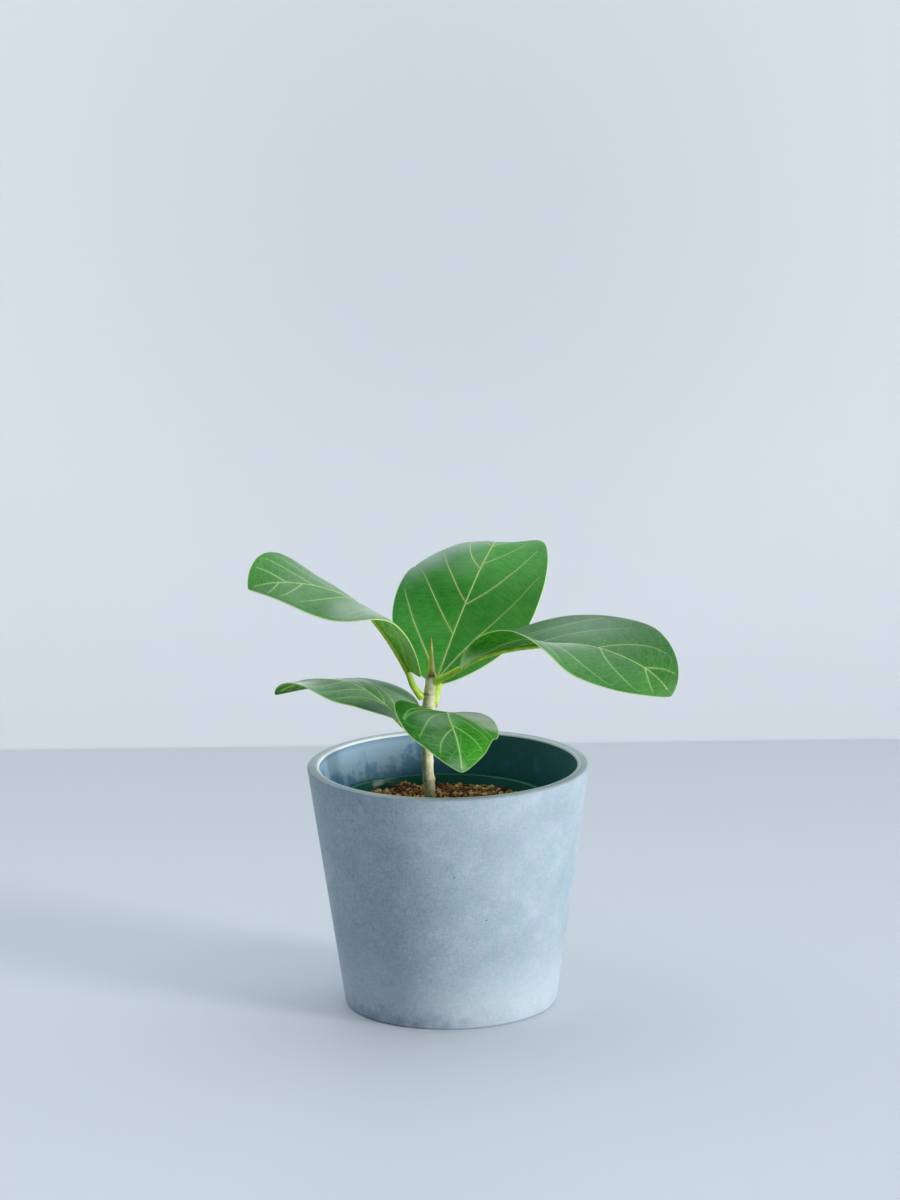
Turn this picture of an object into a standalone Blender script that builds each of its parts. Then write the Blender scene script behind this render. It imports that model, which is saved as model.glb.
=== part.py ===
"""Young banyan fig in a thin grower's pot, standing inside a tapered outer pot.

Frame: metres, +Z up, origin at the centre of the outer pot's flat resting face.
-Y is the side that the front leaf leans towards, +X is the side of the longest leaf.

The plant is a single woody stem with a pointed terminal bud and five leaves.
Each leaf is one solid: a thin blade bent about its midrib, joined to its petiole.
Neighbouring pieces keep a gap of 0.3 mm.
"""
from dataclasses import dataclass

import bmesh
import bpy
import numpy as np

MM = 0.001
GAP = 0.3 * MM

# Outer pot, a tapered tub with a flat rim
POT_TOP_RADIUS = 75.0 * MM
POT_BASE_RADIUS = 56.7 * MM
POT_HEIGHT = 130.3 * MM
POT_WALL = 6.3 * MM
POT_FLOOR = 7.0 * MM
POT_EDGE = 1.2 * MM
POT_SEGMENTS = 48

# Grower's pot, thin plastic with a rolled lip, standing a little off centre
LINER_CENTRE_X = -4.0 * MM
LINER_LIP_RADIUS = 60.5 * MM
LINER_TOP_RADIUS = 59.0 * MM
LINER_BASE_RADIUS = 43.0 * MM
LINER_RIM_HEIGHT = 109.3 * MM
LINER_LIP_DEPTH = 3.5 * MM
LINER_WALL = 1.2 * MM
LINER_SEGMENTS = 48

# Substrate
SOIL_EDGE_HEIGHT = 104.3 * MM
SOIL_MOUND = 1.2 * MM
SOIL_LUMP = 0.5 * MM
SOIL_SEGMENTS = 36
SOIL_RINGS = 7

# Stem: spine points and radius from the buried foot to the bud, in mm
STEM_SPINE = ((-10, 0, 66), (-10, 0, 88), (-10, 0, 110), (-11, 0, 132), (-10.4, 0, 156), (-8.5, 0, 178))
STEM_RADII = (0.8, 2.4, 3.0, 3.0, 3.3, 2.55)
STEM_NODES = (122, 132, 150, 162, 168, 176)
STEM_NODE_SWELL = 0.2
STEM_SIDES = 12
STEM_RINGS = 30

# Terminal bud, standing on the stem's top
BUD_SPINE = ((-8.5, 0, 178.3), (-8.2, 0, 185), (-8.2, 0, 192), (-8.2, 0, 199))
BUD_RADII = (2.2, 1.55, 0.95, 0.3)
BUD_SIDES = 10
BUD_RINGS = 9

# Leaves
BLADE_THICKNESS = 0.8 * MM
BLADE_ROWS = 14
BLADE_COLUMNS = 4
PETIOLE_RADIUS = 1.8 * MM
MIDRIB_TIP_RADIUS = 0.4 * MM
MIDRIB_END = 0.92
RIB_SIDES = 6


@dataclass(frozen=True)
class Leaf:
    """One leaf, with lengths in mm and angles in degrees.

    petiole: points from the stem's surface up to the blade
    spine: five evenly spaced points along the midrib, from the blade's base to its tip
    width: greatest width of the blade when laid flat
    roll: turn of the whole blade about the midrib at its base, middle and tip
    lift_left, lift_right: slope of each half where it leaves the midrib, at four stations
    curl_left, curl_right: further bend of each half out to its edge, at three stations
    face: rough direction of the blade's upper side at its base
    taper: how the outline narrows to the base and to the tip, smaller for rounder ends
    lobe: how far the base of the left and right half reaches back past the petiole
    """

    name: str
    petiole: tuple
    spine: tuple
    width: float
    roll: tuple
    lift_left: tuple
    lift_right: tuple
    curl_left: tuple
    curl_right: tuple
    face: tuple = (0, 0, 1)
    taper: tuple = (0.5, 0.75)
    lobe: tuple = (3.0, 3.0)


LEAVES = (
    Leaf("leaf_upper_left",
         petiole=((-12.3, -0.5, 167), (-16.9, -3.5, 173.9), (-18.9, -5, 179.6)),
         spine=((-19, -5, 182.5), (-41, -10, 216), (-62, -17, 230), (-85, -26, 236), (-103, -36, 235)),
         width=84, roll=(0, -3, 26),
         lift_left=(19, 12, -9, 15), lift_right=(17, 2, 3, 32),
         curl_left=(-39, -6, 0), curl_right=(7, -5, -5), lobe=(8, 3)),
    Leaf("leaf_back",
         petiole=((-7.3, 0.5, 162.4), (-6, 9, 165.2), (-4.6, 20, 168.2)),
         spine=((-6, 29, 167), (4, 44, 192), (17, 58, 220), (26, 79, 232), (27, 103, 225)),
         width=84, roll=(15, 15, 15),
         lift_left=(12, -1, -7, 0), lift_right=(19, 8, 4, 8),
         curl_left=(15, -20, -40), curl_right=(-5, 15, 30),
         face=(0, -1, 0.3), taper=(0.78, 0.89)),
    Leaf("leaf_right",
         petiole=((-6.3, -0.5, 175.6), (-0.3, -6, 179.6), (4.2, -11, 183.3)),
         spine=((7.5, -15, 187.5), (32, -23, 198.5), (70, -36, 203), (100, -50, 195), (116, -54, 179)),
         width=88, roll=(-5, 0, -28),
         lift_left=(-2, 8, 8, 22), lift_right=(-11, 15, -1, 4),
         curl_left=(0, 0, 0), curl_right=(50, 2, -20), lobe=(4, -4)),
    Leaf("leaf_lower_left",
         petiole=((-11.2, -0.8, 150), (-16.5, -6.5, 151), (-21, -12, 154)),
         spine=((-23, -14, 157), (-42, -11, 173), (-58, -10, 179), (-77, -10, 179), (-91, -11, 172)),
         width=58, roll=(4, -3, -29),
         lift_left=(22, 2, -8, 16), lift_right=(31, 5, -11, -10),
         curl_left=(0, -5, -5), curl_right=(-25, -20, -5), lobe=(3, 9)),
    Leaf("leaf_front",
         petiole=((-10, -1, 149.5), (-7, -9.5, 155), (-3, -18, 161)),
         spine=((0, -24, 164), (0, -44, 169), (1, -63, 170), (5, -79, 162), (7, -90, 149)),
         width=57, roll=(3, 8, 16),
         lift_left=(7, -12, -17, -27), lift_right=(6, -1, -11, -7),
         curl_left=(-5, -5, 0), curl_right=(20, 10, -10)),
)


def clear_scene():
    """Remove every object that the file opened with."""
    for item in list(bpy.data.objects):
        bpy.data.objects.remove(item, do_unlink=True)


def make_material(name, colour, roughness):
    """Return a plain Principled material with a linear base colour."""
    material = bpy.data.materials.new(name)
    material.use_nodes = True
    shader = material.node_tree.nodes["Principled BSDF"]
    shader.inputs["Base Color"].default_value = (*colour, 1.0)
    shader.inputs["Roughness"].default_value = roughness
    shader.inputs["Metallic"].default_value = 0.0
    return material


def add_object(name, bm, material, sharp_angle=0.7):
    """Turn a bmesh into a smooth-shaded object in the scene."""
    mesh = bpy.data.meshes.new(name)
    bm.to_mesh(mesh)
    bm.free()
    mesh.materials.append(material)
    mesh.shade_smooth()
    mesh.set_sharp_from_angle(angle=sharp_angle)
    item = bpy.data.objects.new(name, mesh)
    bpy.context.scene.collection.objects.link(item)
    return item


def as_guide(item):
    """Mark an object as a construction shape that isn't part of the model."""
    item.hide_render = True
    item.display_type = "WIRE"
    return item


def smooth(stations, t):
    """Return Catmull-Rom values at t (0 to 1) through evenly spaced stations."""
    points = np.array(stations, dtype=float)
    flat = points.ndim == 1
    if flat:
        points = points[:, None]
    first = 3 * points[0] - 3 * points[1] + points[2]
    last = 3 * points[-1] - 3 * points[-2] + points[-3]
    ends = np.vstack([first, points, last])
    place = np.clip(t, 0, 1) * (len(points) - 1)
    k = np.minimum(place.astype(int), len(points) - 2)
    f = (place - k)[:, None]
    p0, p1, p2, p3 = ends[k], ends[k + 1], ends[k + 2], ends[k + 3]
    out = 0.5 * (2 * p1 + (p2 - p0) * f + (2 * p0 - 5 * p1 + 4 * p2 - p3) * f ** 2
                 + (3 * p1 - p0 - 3 * p2 + p3) * f ** 3)
    return out[:, 0] if flat else out


def unit(vectors):
    """Scale each row to length one."""
    return vectors / np.linalg.norm(vectors, axis=-1, keepdims=True)


def carried_frames(line, face):
    """Return tangents, sideways and upward directions carried along a line without twisting."""
    tangent = unit(np.gradient(line, axis=0))
    side = np.zeros_like(line)
    side[0] = unit(np.cross(tangent[0], np.array(face, dtype=float)))
    for i in range(1, len(line)):
        side[i] = unit(side[i - 1] - tangent[i] * (side[i - 1] @ tangent[i]))
    return tangent, side, np.cross(side, tangent)


def turned(name, profile, segments, centre_x, material):
    """Spin a closed half-section of (radius, height) points about a vertical axis."""
    bm = bmesh.new()
    verts = [bm.verts.new((radius, 0, height)) for radius, height in profile]
    edges = [bm.edges.new(pair) for pair in zip(verts, verts[1:])]
    bmesh.ops.spin(bm, geom=verts + edges, cent=(0, 0, 0), axis=(0, 0, 1),
                   angle=2 * np.pi, steps=segments, use_merge=True)
    bmesh.ops.remove_doubles(bm, verts=bm.verts, dist=1e-6)
    bmesh.ops.recalc_face_normals(bm, faces=bm.faces)
    item = add_object(name, bm, material)
    item.location.x = centre_x
    return item


def corner(centre, radius, start, end, steps=3):
    """Return the points of a rounded corner, with angles in degrees."""
    angles = np.radians(np.linspace(start, end, steps + 1))
    return [(centre[0] + radius * np.cos(a), centre[1] + radius * np.sin(a)) for a in angles]


def build_outer_pot(material):
    """Tapered tub: flat base, straight outer wall, flat rim with soft edges, flat floor."""
    edge = POT_EDGE
    slope = (POT_TOP_RADIUS - POT_BASE_RADIUS) / POT_HEIGHT
    inner_top = POT_TOP_RADIUS - POT_WALL
    inner_base = POT_BASE_RADIUS + slope * POT_FLOOR - POT_WALL
    profile = [(0, 0), (POT_BASE_RADIUS - 1.5 * edge, 0),
               (POT_BASE_RADIUS + slope * edge, 1.5 * edge)]
    profile += corner((POT_TOP_RADIUS - edge, POT_HEIGHT - edge), edge, 0, 90)
    profile += corner((inner_top + edge, POT_HEIGHT - edge), edge, 90, 180)
    profile += corner((inner_base - 2 * edge, POT_FLOOR + 2 * edge), 2 * edge, 0, -90)
    profile += [(0, POT_FLOOR)]
    return turned("outer_pot", profile, POT_SEGMENTS, 0, material)


def liner_inner_radius(height):
    """Inside radius of the grower's pot at a height."""
    base = POT_FLOOR + GAP
    share = (height - base) / (LINER_RIM_HEIGHT - base)
    return LINER_BASE_RADIUS + (LINER_TOP_RADIUS - LINER_BASE_RADIUS) * share - LINER_WALL


def build_nursery_pot(material):
    """Thin grower's pot with a lip that stands out round its rim."""
    base, rim, wall = POT_FLOOR + GAP, LINER_RIM_HEIGHT, LINER_WALL
    lip_base = rim - LINER_LIP_DEPTH
    profile = [(0, base), (LINER_BASE_RADIUS - wall, base), (LINER_BASE_RADIUS, base + wall),
               (liner_inner_radius(lip_base) + wall, lip_base), (LINER_LIP_RADIUS, lip_base)]
    profile += corner((LINER_LIP_RADIUS - 0.6 * MM, rim - 0.6 * MM), 0.6 * MM, 0, 90, 2)
    profile += [(liner_inner_radius(rim) + 0.4 * MM, rim), (liner_inner_radius(rim), rim - 0.5 * MM),
                (liner_inner_radius(base + wall), base + wall), (0, base + wall)]
    return turned("nursery_pot", profile, LINER_SEGMENTS, LINER_CENTRE_X, material)


def soil_height(x, y, share):
    """Height of the substrate's surface: a low mound with lumps that fade at the wall."""
    lumps = np.sin(210 * x + 1.3) * np.sin(260 * y + 0.4) + 0.6 * np.sin(430 * x - 310 * y)
    return SOIL_EDGE_HEIGHT + SOIL_MOUND * (1 - share ** 2) + SOIL_LUMP * lumps * (1 - share ** 4)


def build_soil(material, stem_cutter):
    """Substrate that fills the grower's pot, with the stem's hole cut out of it."""
    bottom = POT_FLOOR + GAP + LINER_WALL + GAP
    top_radius = liner_inner_radius(SOIL_EDGE_HEIGHT) - GAP
    bm = bmesh.new()
    centre = bm.verts.new((0, 0, soil_height(0, 0, 0)))
    rings = []
    for share in np.linspace(0, 1, SOIL_RINGS + 1)[1:]:
        ring = []
        for angle in np.linspace(0, 2 * np.pi, SOIL_SEGMENTS, endpoint=False):
            x, y = share * top_radius * np.cos(angle), share * top_radius * np.sin(angle)
            ring.append(bm.verts.new((x, y, soil_height(x, y, share))))
        rings.append(ring)
    radius = liner_inner_radius(bottom) - GAP
    rings.append([bm.verts.new((radius * np.cos(a), radius * np.sin(a), bottom))
                  for a in np.linspace(0, 2 * np.pi, SOIL_SEGMENTS, endpoint=False)])
    for i in range(SOIL_SEGMENTS):
        j = (i + 1) % SOIL_SEGMENTS
        bm.faces.new((centre, rings[0][i], rings[0][j]))
        for inner, outer in zip(rings, rings[1:]):
            bm.faces.new((inner[i], outer[i], outer[j], inner[j]))
    bm.faces.new(reversed(rings[-1]))
    bmesh.ops.recalc_face_normals(bm, faces=bm.faces)
    soil = add_object("soil", bm, material)
    soil.location.x = LINER_CENTRE_X
    cut = soil.modifiers.new("stem_hole", "BOOLEAN")
    cut.operation, cut.object, cut.solver = "DIFFERENCE", stem_cutter, "EXACT"
    return soil


def loft_tube(line, radii, sides):
    """Return a bmesh of round rings along a line, closed at both ends."""
    tangent, side, up = carried_frames(line, (0, -1, 0.2))
    bm = bmesh.new()
    angles = np.linspace(0, 2 * np.pi, sides, endpoint=False)
    rings = []
    for centre, across, over, radius in zip(line, side, up, radii):
        rings.append([bm.verts.new(centre + radius * (np.cos(a) * across + np.sin(a) * over))
                      for a in angles])
    for ring, following in zip(rings, rings[1:]):
        for i in range(sides):
            j = (i + 1) % sides
            bm.faces.new((ring[i], ring[j], following[j], following[i]))
    bm.faces.new(reversed(rings[0]))
    bm.faces.new(rings[-1])
    bmesh.ops.recalc_face_normals(bm, faces=bm.faces)
    return bm


def stem_shape(extra, rings):
    """Return the stem's line and radii in metres, swollen a little at each leaf scar."""
    t = np.linspace(0, 1, rings)
    line = smooth(STEM_SPINE, t)
    radii = smooth(STEM_RADII, t) + extra
    for height in STEM_NODES:
        radii += STEM_NODE_SWELL * np.exp(-((line[:, 2] - height) / 1.5) ** 2)
    return line * MM, radii * MM


def build_stem(material):
    """Woody stem with its foot buried in the substrate."""
    line, radii = stem_shape(0.0, STEM_RINGS)
    return add_object("stem", loft_tube(line, radii, STEM_SIDES), material)


def build_stem_cutter(material):
    """Stem-shaped cutter, larger all round by the gap, for whatever meets the stem."""
    line, radii = stem_shape(GAP / MM, STEM_RINGS)
    line[0, 2] -= GAP
    line[-1, 2] += GAP
    return as_guide(add_object("stem_cutter", loft_tube(line, radii, STEM_SIDES), material))


def build_bud(material):
    """Pointed terminal bud in its sheath."""
    t = np.linspace(0, 1, BUD_RINGS)
    bm = loft_tube(smooth(BUD_SPINE, t) * MM, smooth(BUD_RADII, t) * MM, BUD_SIDES)
    return add_object("terminal_bud", bm, material)


class Blade:
    """The bent surface of one leaf, worked out from its midrib."""

    def __init__(self, leaf):
        self.leaf = leaf
        self.line = smooth(leaf.spine, np.linspace(0, 1, 241))
        steps = np.linalg.norm(np.diff(self.line, axis=0), axis=1)
        self.run = np.concatenate([[0.0], np.cumsum(steps)])
        self.length = self.run[-1]
        self.tangent, side, up = carried_frames(self.line, leaf.face)
        roll = np.radians(smooth(leaf.roll, self.run / self.length))[:, None]
        self.side = side * np.cos(roll) + up * np.sin(roll)
        self.up = up * np.cos(roll) - side * np.sin(roll)

    def along(self, values, distance):
        """Read one of the midrib's vector rows at distances from the base."""
        return np.stack([np.interp(distance, self.run, values[:, k]) for k in range(3)], axis=1)

    def half_width(self, t):
        """Half the flat width at shares of the length: rounded base, blunt tip."""
        a, b = self.leaf.taper
        peak = a ** a * b ** b / (a + b) ** (a + b)
        return 0.5 * self.leaf.width * t ** a * (1 - t) ** b / peak

    def column(self, t, v):
        """Return one lengthwise row of points, v from -1 (left edge) to 1 (right edge)."""
        leaf, share = self.leaf, abs(v)
        reach = self.half_width(t) * share
        sweep = 4 * leaf.lobe[1 if v > 0 else 0] * np.sqrt(t) * (1 - t) ** 5
        distance = self.length * t - sweep * share
        held = np.clip(distance, 0, self.length)
        lift = leaf.lift_right if v > 0 else leaf.lift_left
        curl = leaf.curl_right if v > 0 else leaf.curl_left
        start = np.radians(smooth(lift, held / self.length))
        bend = np.radians(smooth(curl, held / self.length)) / (0.5 * leaf.width)
        bend = np.where(np.abs(bend) < 1e-6, 1e-6, bend)
        out = (np.sin(start + bend * reach) - np.sin(start)) / bend * np.sign(v)
        rise = -(np.cos(start + bend * reach) - np.cos(start)) / bend
        points = self.along(self.line, held) + (distance - held)[:, None] * self.tangent[0]
        points += unit(self.along(self.side, held)) * out[:, None]
        return points + unit(self.along(self.up, held)) * rise[:, None]

    def grid(self, rows, columns):
        """Return points (rows + 1, 2 * columns + 1, 3) in metres over the blade."""
        t = (1 - np.cos(np.linspace(0, np.pi, rows + 1))) / 2
        spread = np.linspace(-1, 1, 2 * columns + 1)
        return np.stack([self.column(t, v) for v in spread], axis=1) * MM

    def rib(self, rings):
        """Return line and radii in metres of the petiole and the midrib below the blade."""
        t = np.linspace(0, MIDRIB_END, rings)
        radii = MIDRIB_TIP_RADIUS + (0.8 * PETIOLE_RADIUS - MIDRIB_TIP_RADIUS) * (1 - t) ** 0.8
        sink = 0.5 * BLADE_THICKNESS + 0.25 * radii
        held = t * self.length
        under = self.along(self.line, held) * MM - unit(self.along(self.up, held)) * sink[:, None]
        stalk = np.array(list(self.leaf.petiole) + [under[0] / MM])
        stalk = smooth(stalk, np.linspace(0, 1, 7)) * MM
        width = np.linspace(PETIOLE_RADIUS, radii[0], 7)
        return np.vstack([stalk[:-1], under]), np.concatenate([width[:-1], radii])


def blade_sheet(points):
    """Return a bmesh sheet over the blade's grid, closed to one point at base and tip."""
    rows, columns = points.shape[0] - 1, points.shape[1]
    bm = bmesh.new()
    base, tip = bm.verts.new(points[0, columns // 2]), bm.verts.new(points[rows, columns // 2])
    inner = [[bm.verts.new(p) for p in points[i]] for i in range(1, rows)]
    for j in range(columns - 1):
        bm.faces.new((base, inner[0][j + 1], inner[0][j]))
        bm.faces.new((tip, inner[-1][j], inner[-1][j + 1]))
        for near, far in zip(inner, inner[1:]):
            bm.faces.new((near[j], near[j + 1], far[j + 1], far[j]))
    bmesh.ops.recalc_face_normals(bm, faces=bm.faces)
    return bm


def build_leaf(leaf, material, stem_cutter):
    """Blade given its thickness, joined to its petiole and midrib, and cut to fit the stem."""
    blade = Blade(leaf)
    line, radii = blade.rib(11)
    rib = as_guide(add_object(leaf.name + "_rib", loft_tube(line, radii, RIB_SIDES), material))
    item = add_object(leaf.name, blade_sheet(blade.grid(BLADE_ROWS, BLADE_COLUMNS)), material)
    slab = item.modifiers.new("thickness", "SOLIDIFY")
    slab.thickness, slab.offset, slab.use_even_offset = BLADE_THICKNESS, 0.0, True
    join = item.modifiers.new("midrib", "BOOLEAN")
    join.operation, join.object, join.solver = "UNION", rib, "EXACT"
    cut = item.modifiers.new("stem_joint", "BOOLEAN")
    cut.operation, cut.object, cut.solver = "DIFFERENCE", stem_cutter, "EXACT"
    return item


def main():
    """Build the pots, the substrate and the plant."""
    clear_scene()
    build_outer_pot(make_material("blue_grey_ceramic", (0.27, 0.36, 0.43), 0.7))
    build_nursery_pot(make_material("green_plastic", (0.01, 0.07, 0.05), 0.4))
    bark = make_material("bark", (0.42, 0.43, 0.31), 0.7)
    stem_cutter = build_stem_cutter(bark)
    build_soil(make_material("substrate", (0.16, 0.09, 0.04), 0.95), stem_cutter)
    build_stem(bark)
    build_bud(make_material("bud_sheath", (0.40, 0.33, 0.10), 0.6))
    green = make_material("leaf_green", (0.05, 0.20, 0.04), 0.4)
    for leaf in LEAVES:
        build_leaf(leaf, green, stem_cutter)


main()
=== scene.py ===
"""Fine shape and finish of a young banyan fig that stands in its two pots.

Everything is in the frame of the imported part: +Z up, the origin at the centre of the outer
pot's flat resting face. Sizes in the classes are millimetres and degrees, meshes are in metres,
and a leaf's texture coordinates are its flat blade in tenths of a metre, FLAT millimetres each.
"""
import logging
import math
from dataclasses import dataclass
from enum import Enum

import bpy
import numpy as np
from mathutils import Matrix, Vector, noise


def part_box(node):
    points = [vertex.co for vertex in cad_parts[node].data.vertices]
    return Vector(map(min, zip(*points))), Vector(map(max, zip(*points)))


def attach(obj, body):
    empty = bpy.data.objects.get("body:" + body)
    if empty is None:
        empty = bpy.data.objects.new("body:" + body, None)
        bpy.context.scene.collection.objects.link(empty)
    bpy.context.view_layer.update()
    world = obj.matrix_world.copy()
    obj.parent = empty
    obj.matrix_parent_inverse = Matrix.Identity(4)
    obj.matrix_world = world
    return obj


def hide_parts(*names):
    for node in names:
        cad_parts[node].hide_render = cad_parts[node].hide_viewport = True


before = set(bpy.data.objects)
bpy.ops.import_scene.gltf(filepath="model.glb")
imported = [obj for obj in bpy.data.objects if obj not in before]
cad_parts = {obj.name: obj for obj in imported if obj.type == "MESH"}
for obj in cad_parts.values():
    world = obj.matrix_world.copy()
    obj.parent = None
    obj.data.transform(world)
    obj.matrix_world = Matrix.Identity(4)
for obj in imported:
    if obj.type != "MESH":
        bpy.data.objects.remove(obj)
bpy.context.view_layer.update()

MM = 0.001
FLAT = 100.0
BODY = "root"
UNDRAWN = 1e-6
Tree = bpy.types.NodeTree
Socket = bpy.types.NodeSocket
Piece = bpy.types.Object
Mesh = bpy.types.Mesh
Run = tuple[np.ndarray, np.ndarray]
log = logging.getLogger("potted_fig")


# ---------------------------------------------------------------- colours and shader nodes


def linear(code: str) -> tuple[float, float, float, float]:
    """Turn an sRGB hex colour into the linear colour that shaders take.

    Args:
        code: colour such as "#6fa04b"

    Returns:
        Linear red, green, blue and an alpha of one.
    """
    parts = [int(code[i:i + 2], 16) / 255 for i in (1, 3, 5)]
    red, green, blue = (p / 12.92 if p <= 0.04045 else ((p + 0.055) / 1.055) ** 2.4 for p in parts)
    return red, green, blue, 1.0


def add(tree: Tree, kind: str, sockets: dict | None = None, output: int | str = 0,
        **settings: object) -> Socket:
    """Add one shader node with its settings and links.

    Args:
        tree: node tree that takes the node
        kind: node type without its "ShaderNode" prefix
        sockets: input name or index to a number, a colour or another node's output
        output: name or index of the output to hand on
        settings: properties of the node itself

    Returns:
        The chosen output socket.
    """
    made = tree.nodes.new("ShaderNode" + kind)
    for name, value in settings.items():
        setattr(made, name, value)
    for key, value in (sockets or {}).items():
        plug(tree, value, made.inputs[key])
    return made.outputs[output]


def plug(tree: Tree, value: object, socket: Socket) -> None:
    """Link a value into a socket if it is another node's output, or set it there.

    Args:
        tree: node tree that holds both
        value: a node's output, a number, a vector or a colour
        socket: the input that takes it
    """
    if isinstance(value, Socket):
        tree.links.new(value, socket)
    else:
        socket.default_value = value


def blend(tree: Tree, share: Socket | float, first: Socket | str, second: Socket | str,
          mode: str = "MIX") -> Socket:
    """Blend one colour into another.

    Args:
        tree: node tree that takes the node
        share: how much of the second colour shows, from 0 to 1
        first: colour underneath, as sRGB hex or a node's output
        second: colour on top
        mode: Blender's blend type

    Returns:
        The blended colour.
    """
    under, over = (linear(c) if isinstance(c, str) else c for c in (first, second))
    return add(tree, "Mix", {0: share, 6: under, 7: over}, output=2, data_type="RGBA",
               blend_type=mode)


def ramp(tree: Tree, value: Socket, start: float = 0.0, end: float = 1.0, low: float = 0.0,
         high: float = 1.0, soft: bool = False) -> Socket:
    """Map a range of values onto another and hold it at both ends.

    Args:
        tree: node tree that takes the node
        value: what to map
        start: value that gives the low result
        end: value that gives the high result, which may be below the start
        low: result at the start
        high: result at the end
        soft: True to ease in and out

    Returns:
        The mapped value.
    """
    limits = {"Value": value, "From Min": start, "From Max": end, "To Min": low, "To Max": high}
    return add(tree, "MapRange", limits, interpolation_type="SMOOTHSTEP" if soft else "LINEAR")


def ramp_mm(tree: Tree, value: Socket, band: tuple, **results: float) -> Socket:
    """Map a length over a band whose start and end are in mm. The rest is as for ramp."""
    return ramp(tree, value, band[0] * MM, band[1] * MM, **results)


def clouds(tree: Tree, at: Socket, scale: float, detail: float, rough: float = 0.5,
           warp: float = 0.0, output: str = "Fac") -> Socket:
    """Spread noise over a place's coordinates.

    Args:
        tree: node tree that takes the node
        at: coordinates
        scale: patches for each unit of the coordinates
        detail: octaves
        rough: strength of each octave beside the one before
        warp: distortion
        output: "Fac" for a number or "Color" for three

    Returns:
        The noise, around 0.5.
    """
    return add(tree, "TexNoise", {"Vector": at, "Scale": scale, "Detail": detail,
                                  "Roughness": rough, "Distortion": warp}, output=output)


def specks(tree: Tree, at: Socket, size: float, *shape: float, **more: float) -> Socket:
    """Spread noise with patches of a size in mm. The rest is as for clouds."""
    return clouds(tree, at, 1 / (size * MM), *shape, **more)


def cells(tree: Tree, at: Socket, scale: float, walls: bool = False) -> Socket:
    """Spread Voronoi cells and return the distance to a cell's centre, or to its walls."""
    feature = "DISTANCE_TO_EDGE" if walls else "F1"
    return add(tree, "TexVoronoi", {"Vector": at, "Scale": scale}, "Distance", feature=feature)


def reckon(tree: Tree, operation: str, *values: Socket | float, clamp: bool = False) -> Socket:
    """Return the result of Blender's maths operation on one to three values."""
    return add(tree, "Math", dict(enumerate(values)), operation=operation, use_clamp=clamp)


def axis(tree: Tree, at: Socket, letter: str) -> Socket:
    """Return one coordinate of a place."""
    return add(tree, "SeparateXYZ", {0: at}, letter)


def length_of(tree: Tree, vector: Socket) -> Socket:
    """Return a vector's length."""
    return add(tree, "VectorMath", {0: vector}, "Value", operation="LENGTH")


def stored(tree: Tree, name: str) -> Socket:
    """Return the number that a mesh keeps at each vertex under a name."""
    return add(tree, "Attribute", output="Fac", attribute_name=name)


def relief(tree: Tree, height: Socket, strength: float, depth: float) -> Socket:
    """Return the normal of a surface that a height lifts by up to a depth in mm."""
    return add(tree, "Bump", {"Height": height, "Strength": strength, "Distance": depth * MM})


class Finish:
    """A surface finish. Subclasses say what drives the Principled shader's sockets."""

    name = "finish"

    def surface(self, tree: Tree) -> dict[str, object]:
        """Add the finish's own nodes.

        Args:
            tree: the material's nodes

        Returns:
            The shader's values and links by the name of its socket.
        """
        raise NotImplementedError

    def material(self) -> bpy.types.Material:
        """Make the finish into a Blender material, once.

        Returns:
            The material, or the one that was made before.
        """
        kept = bpy.data.materials.get(self.name)
        if kept is not None:
            return kept
        made = bpy.data.materials.new(self.name)
        made.use_nodes = True
        shader = made.node_tree.nodes["Principled BSDF"]
        for socket, value in self.surface(made.node_tree).items():
            plug(made.node_tree, value, shader.inputs[socket])
        return made


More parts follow.
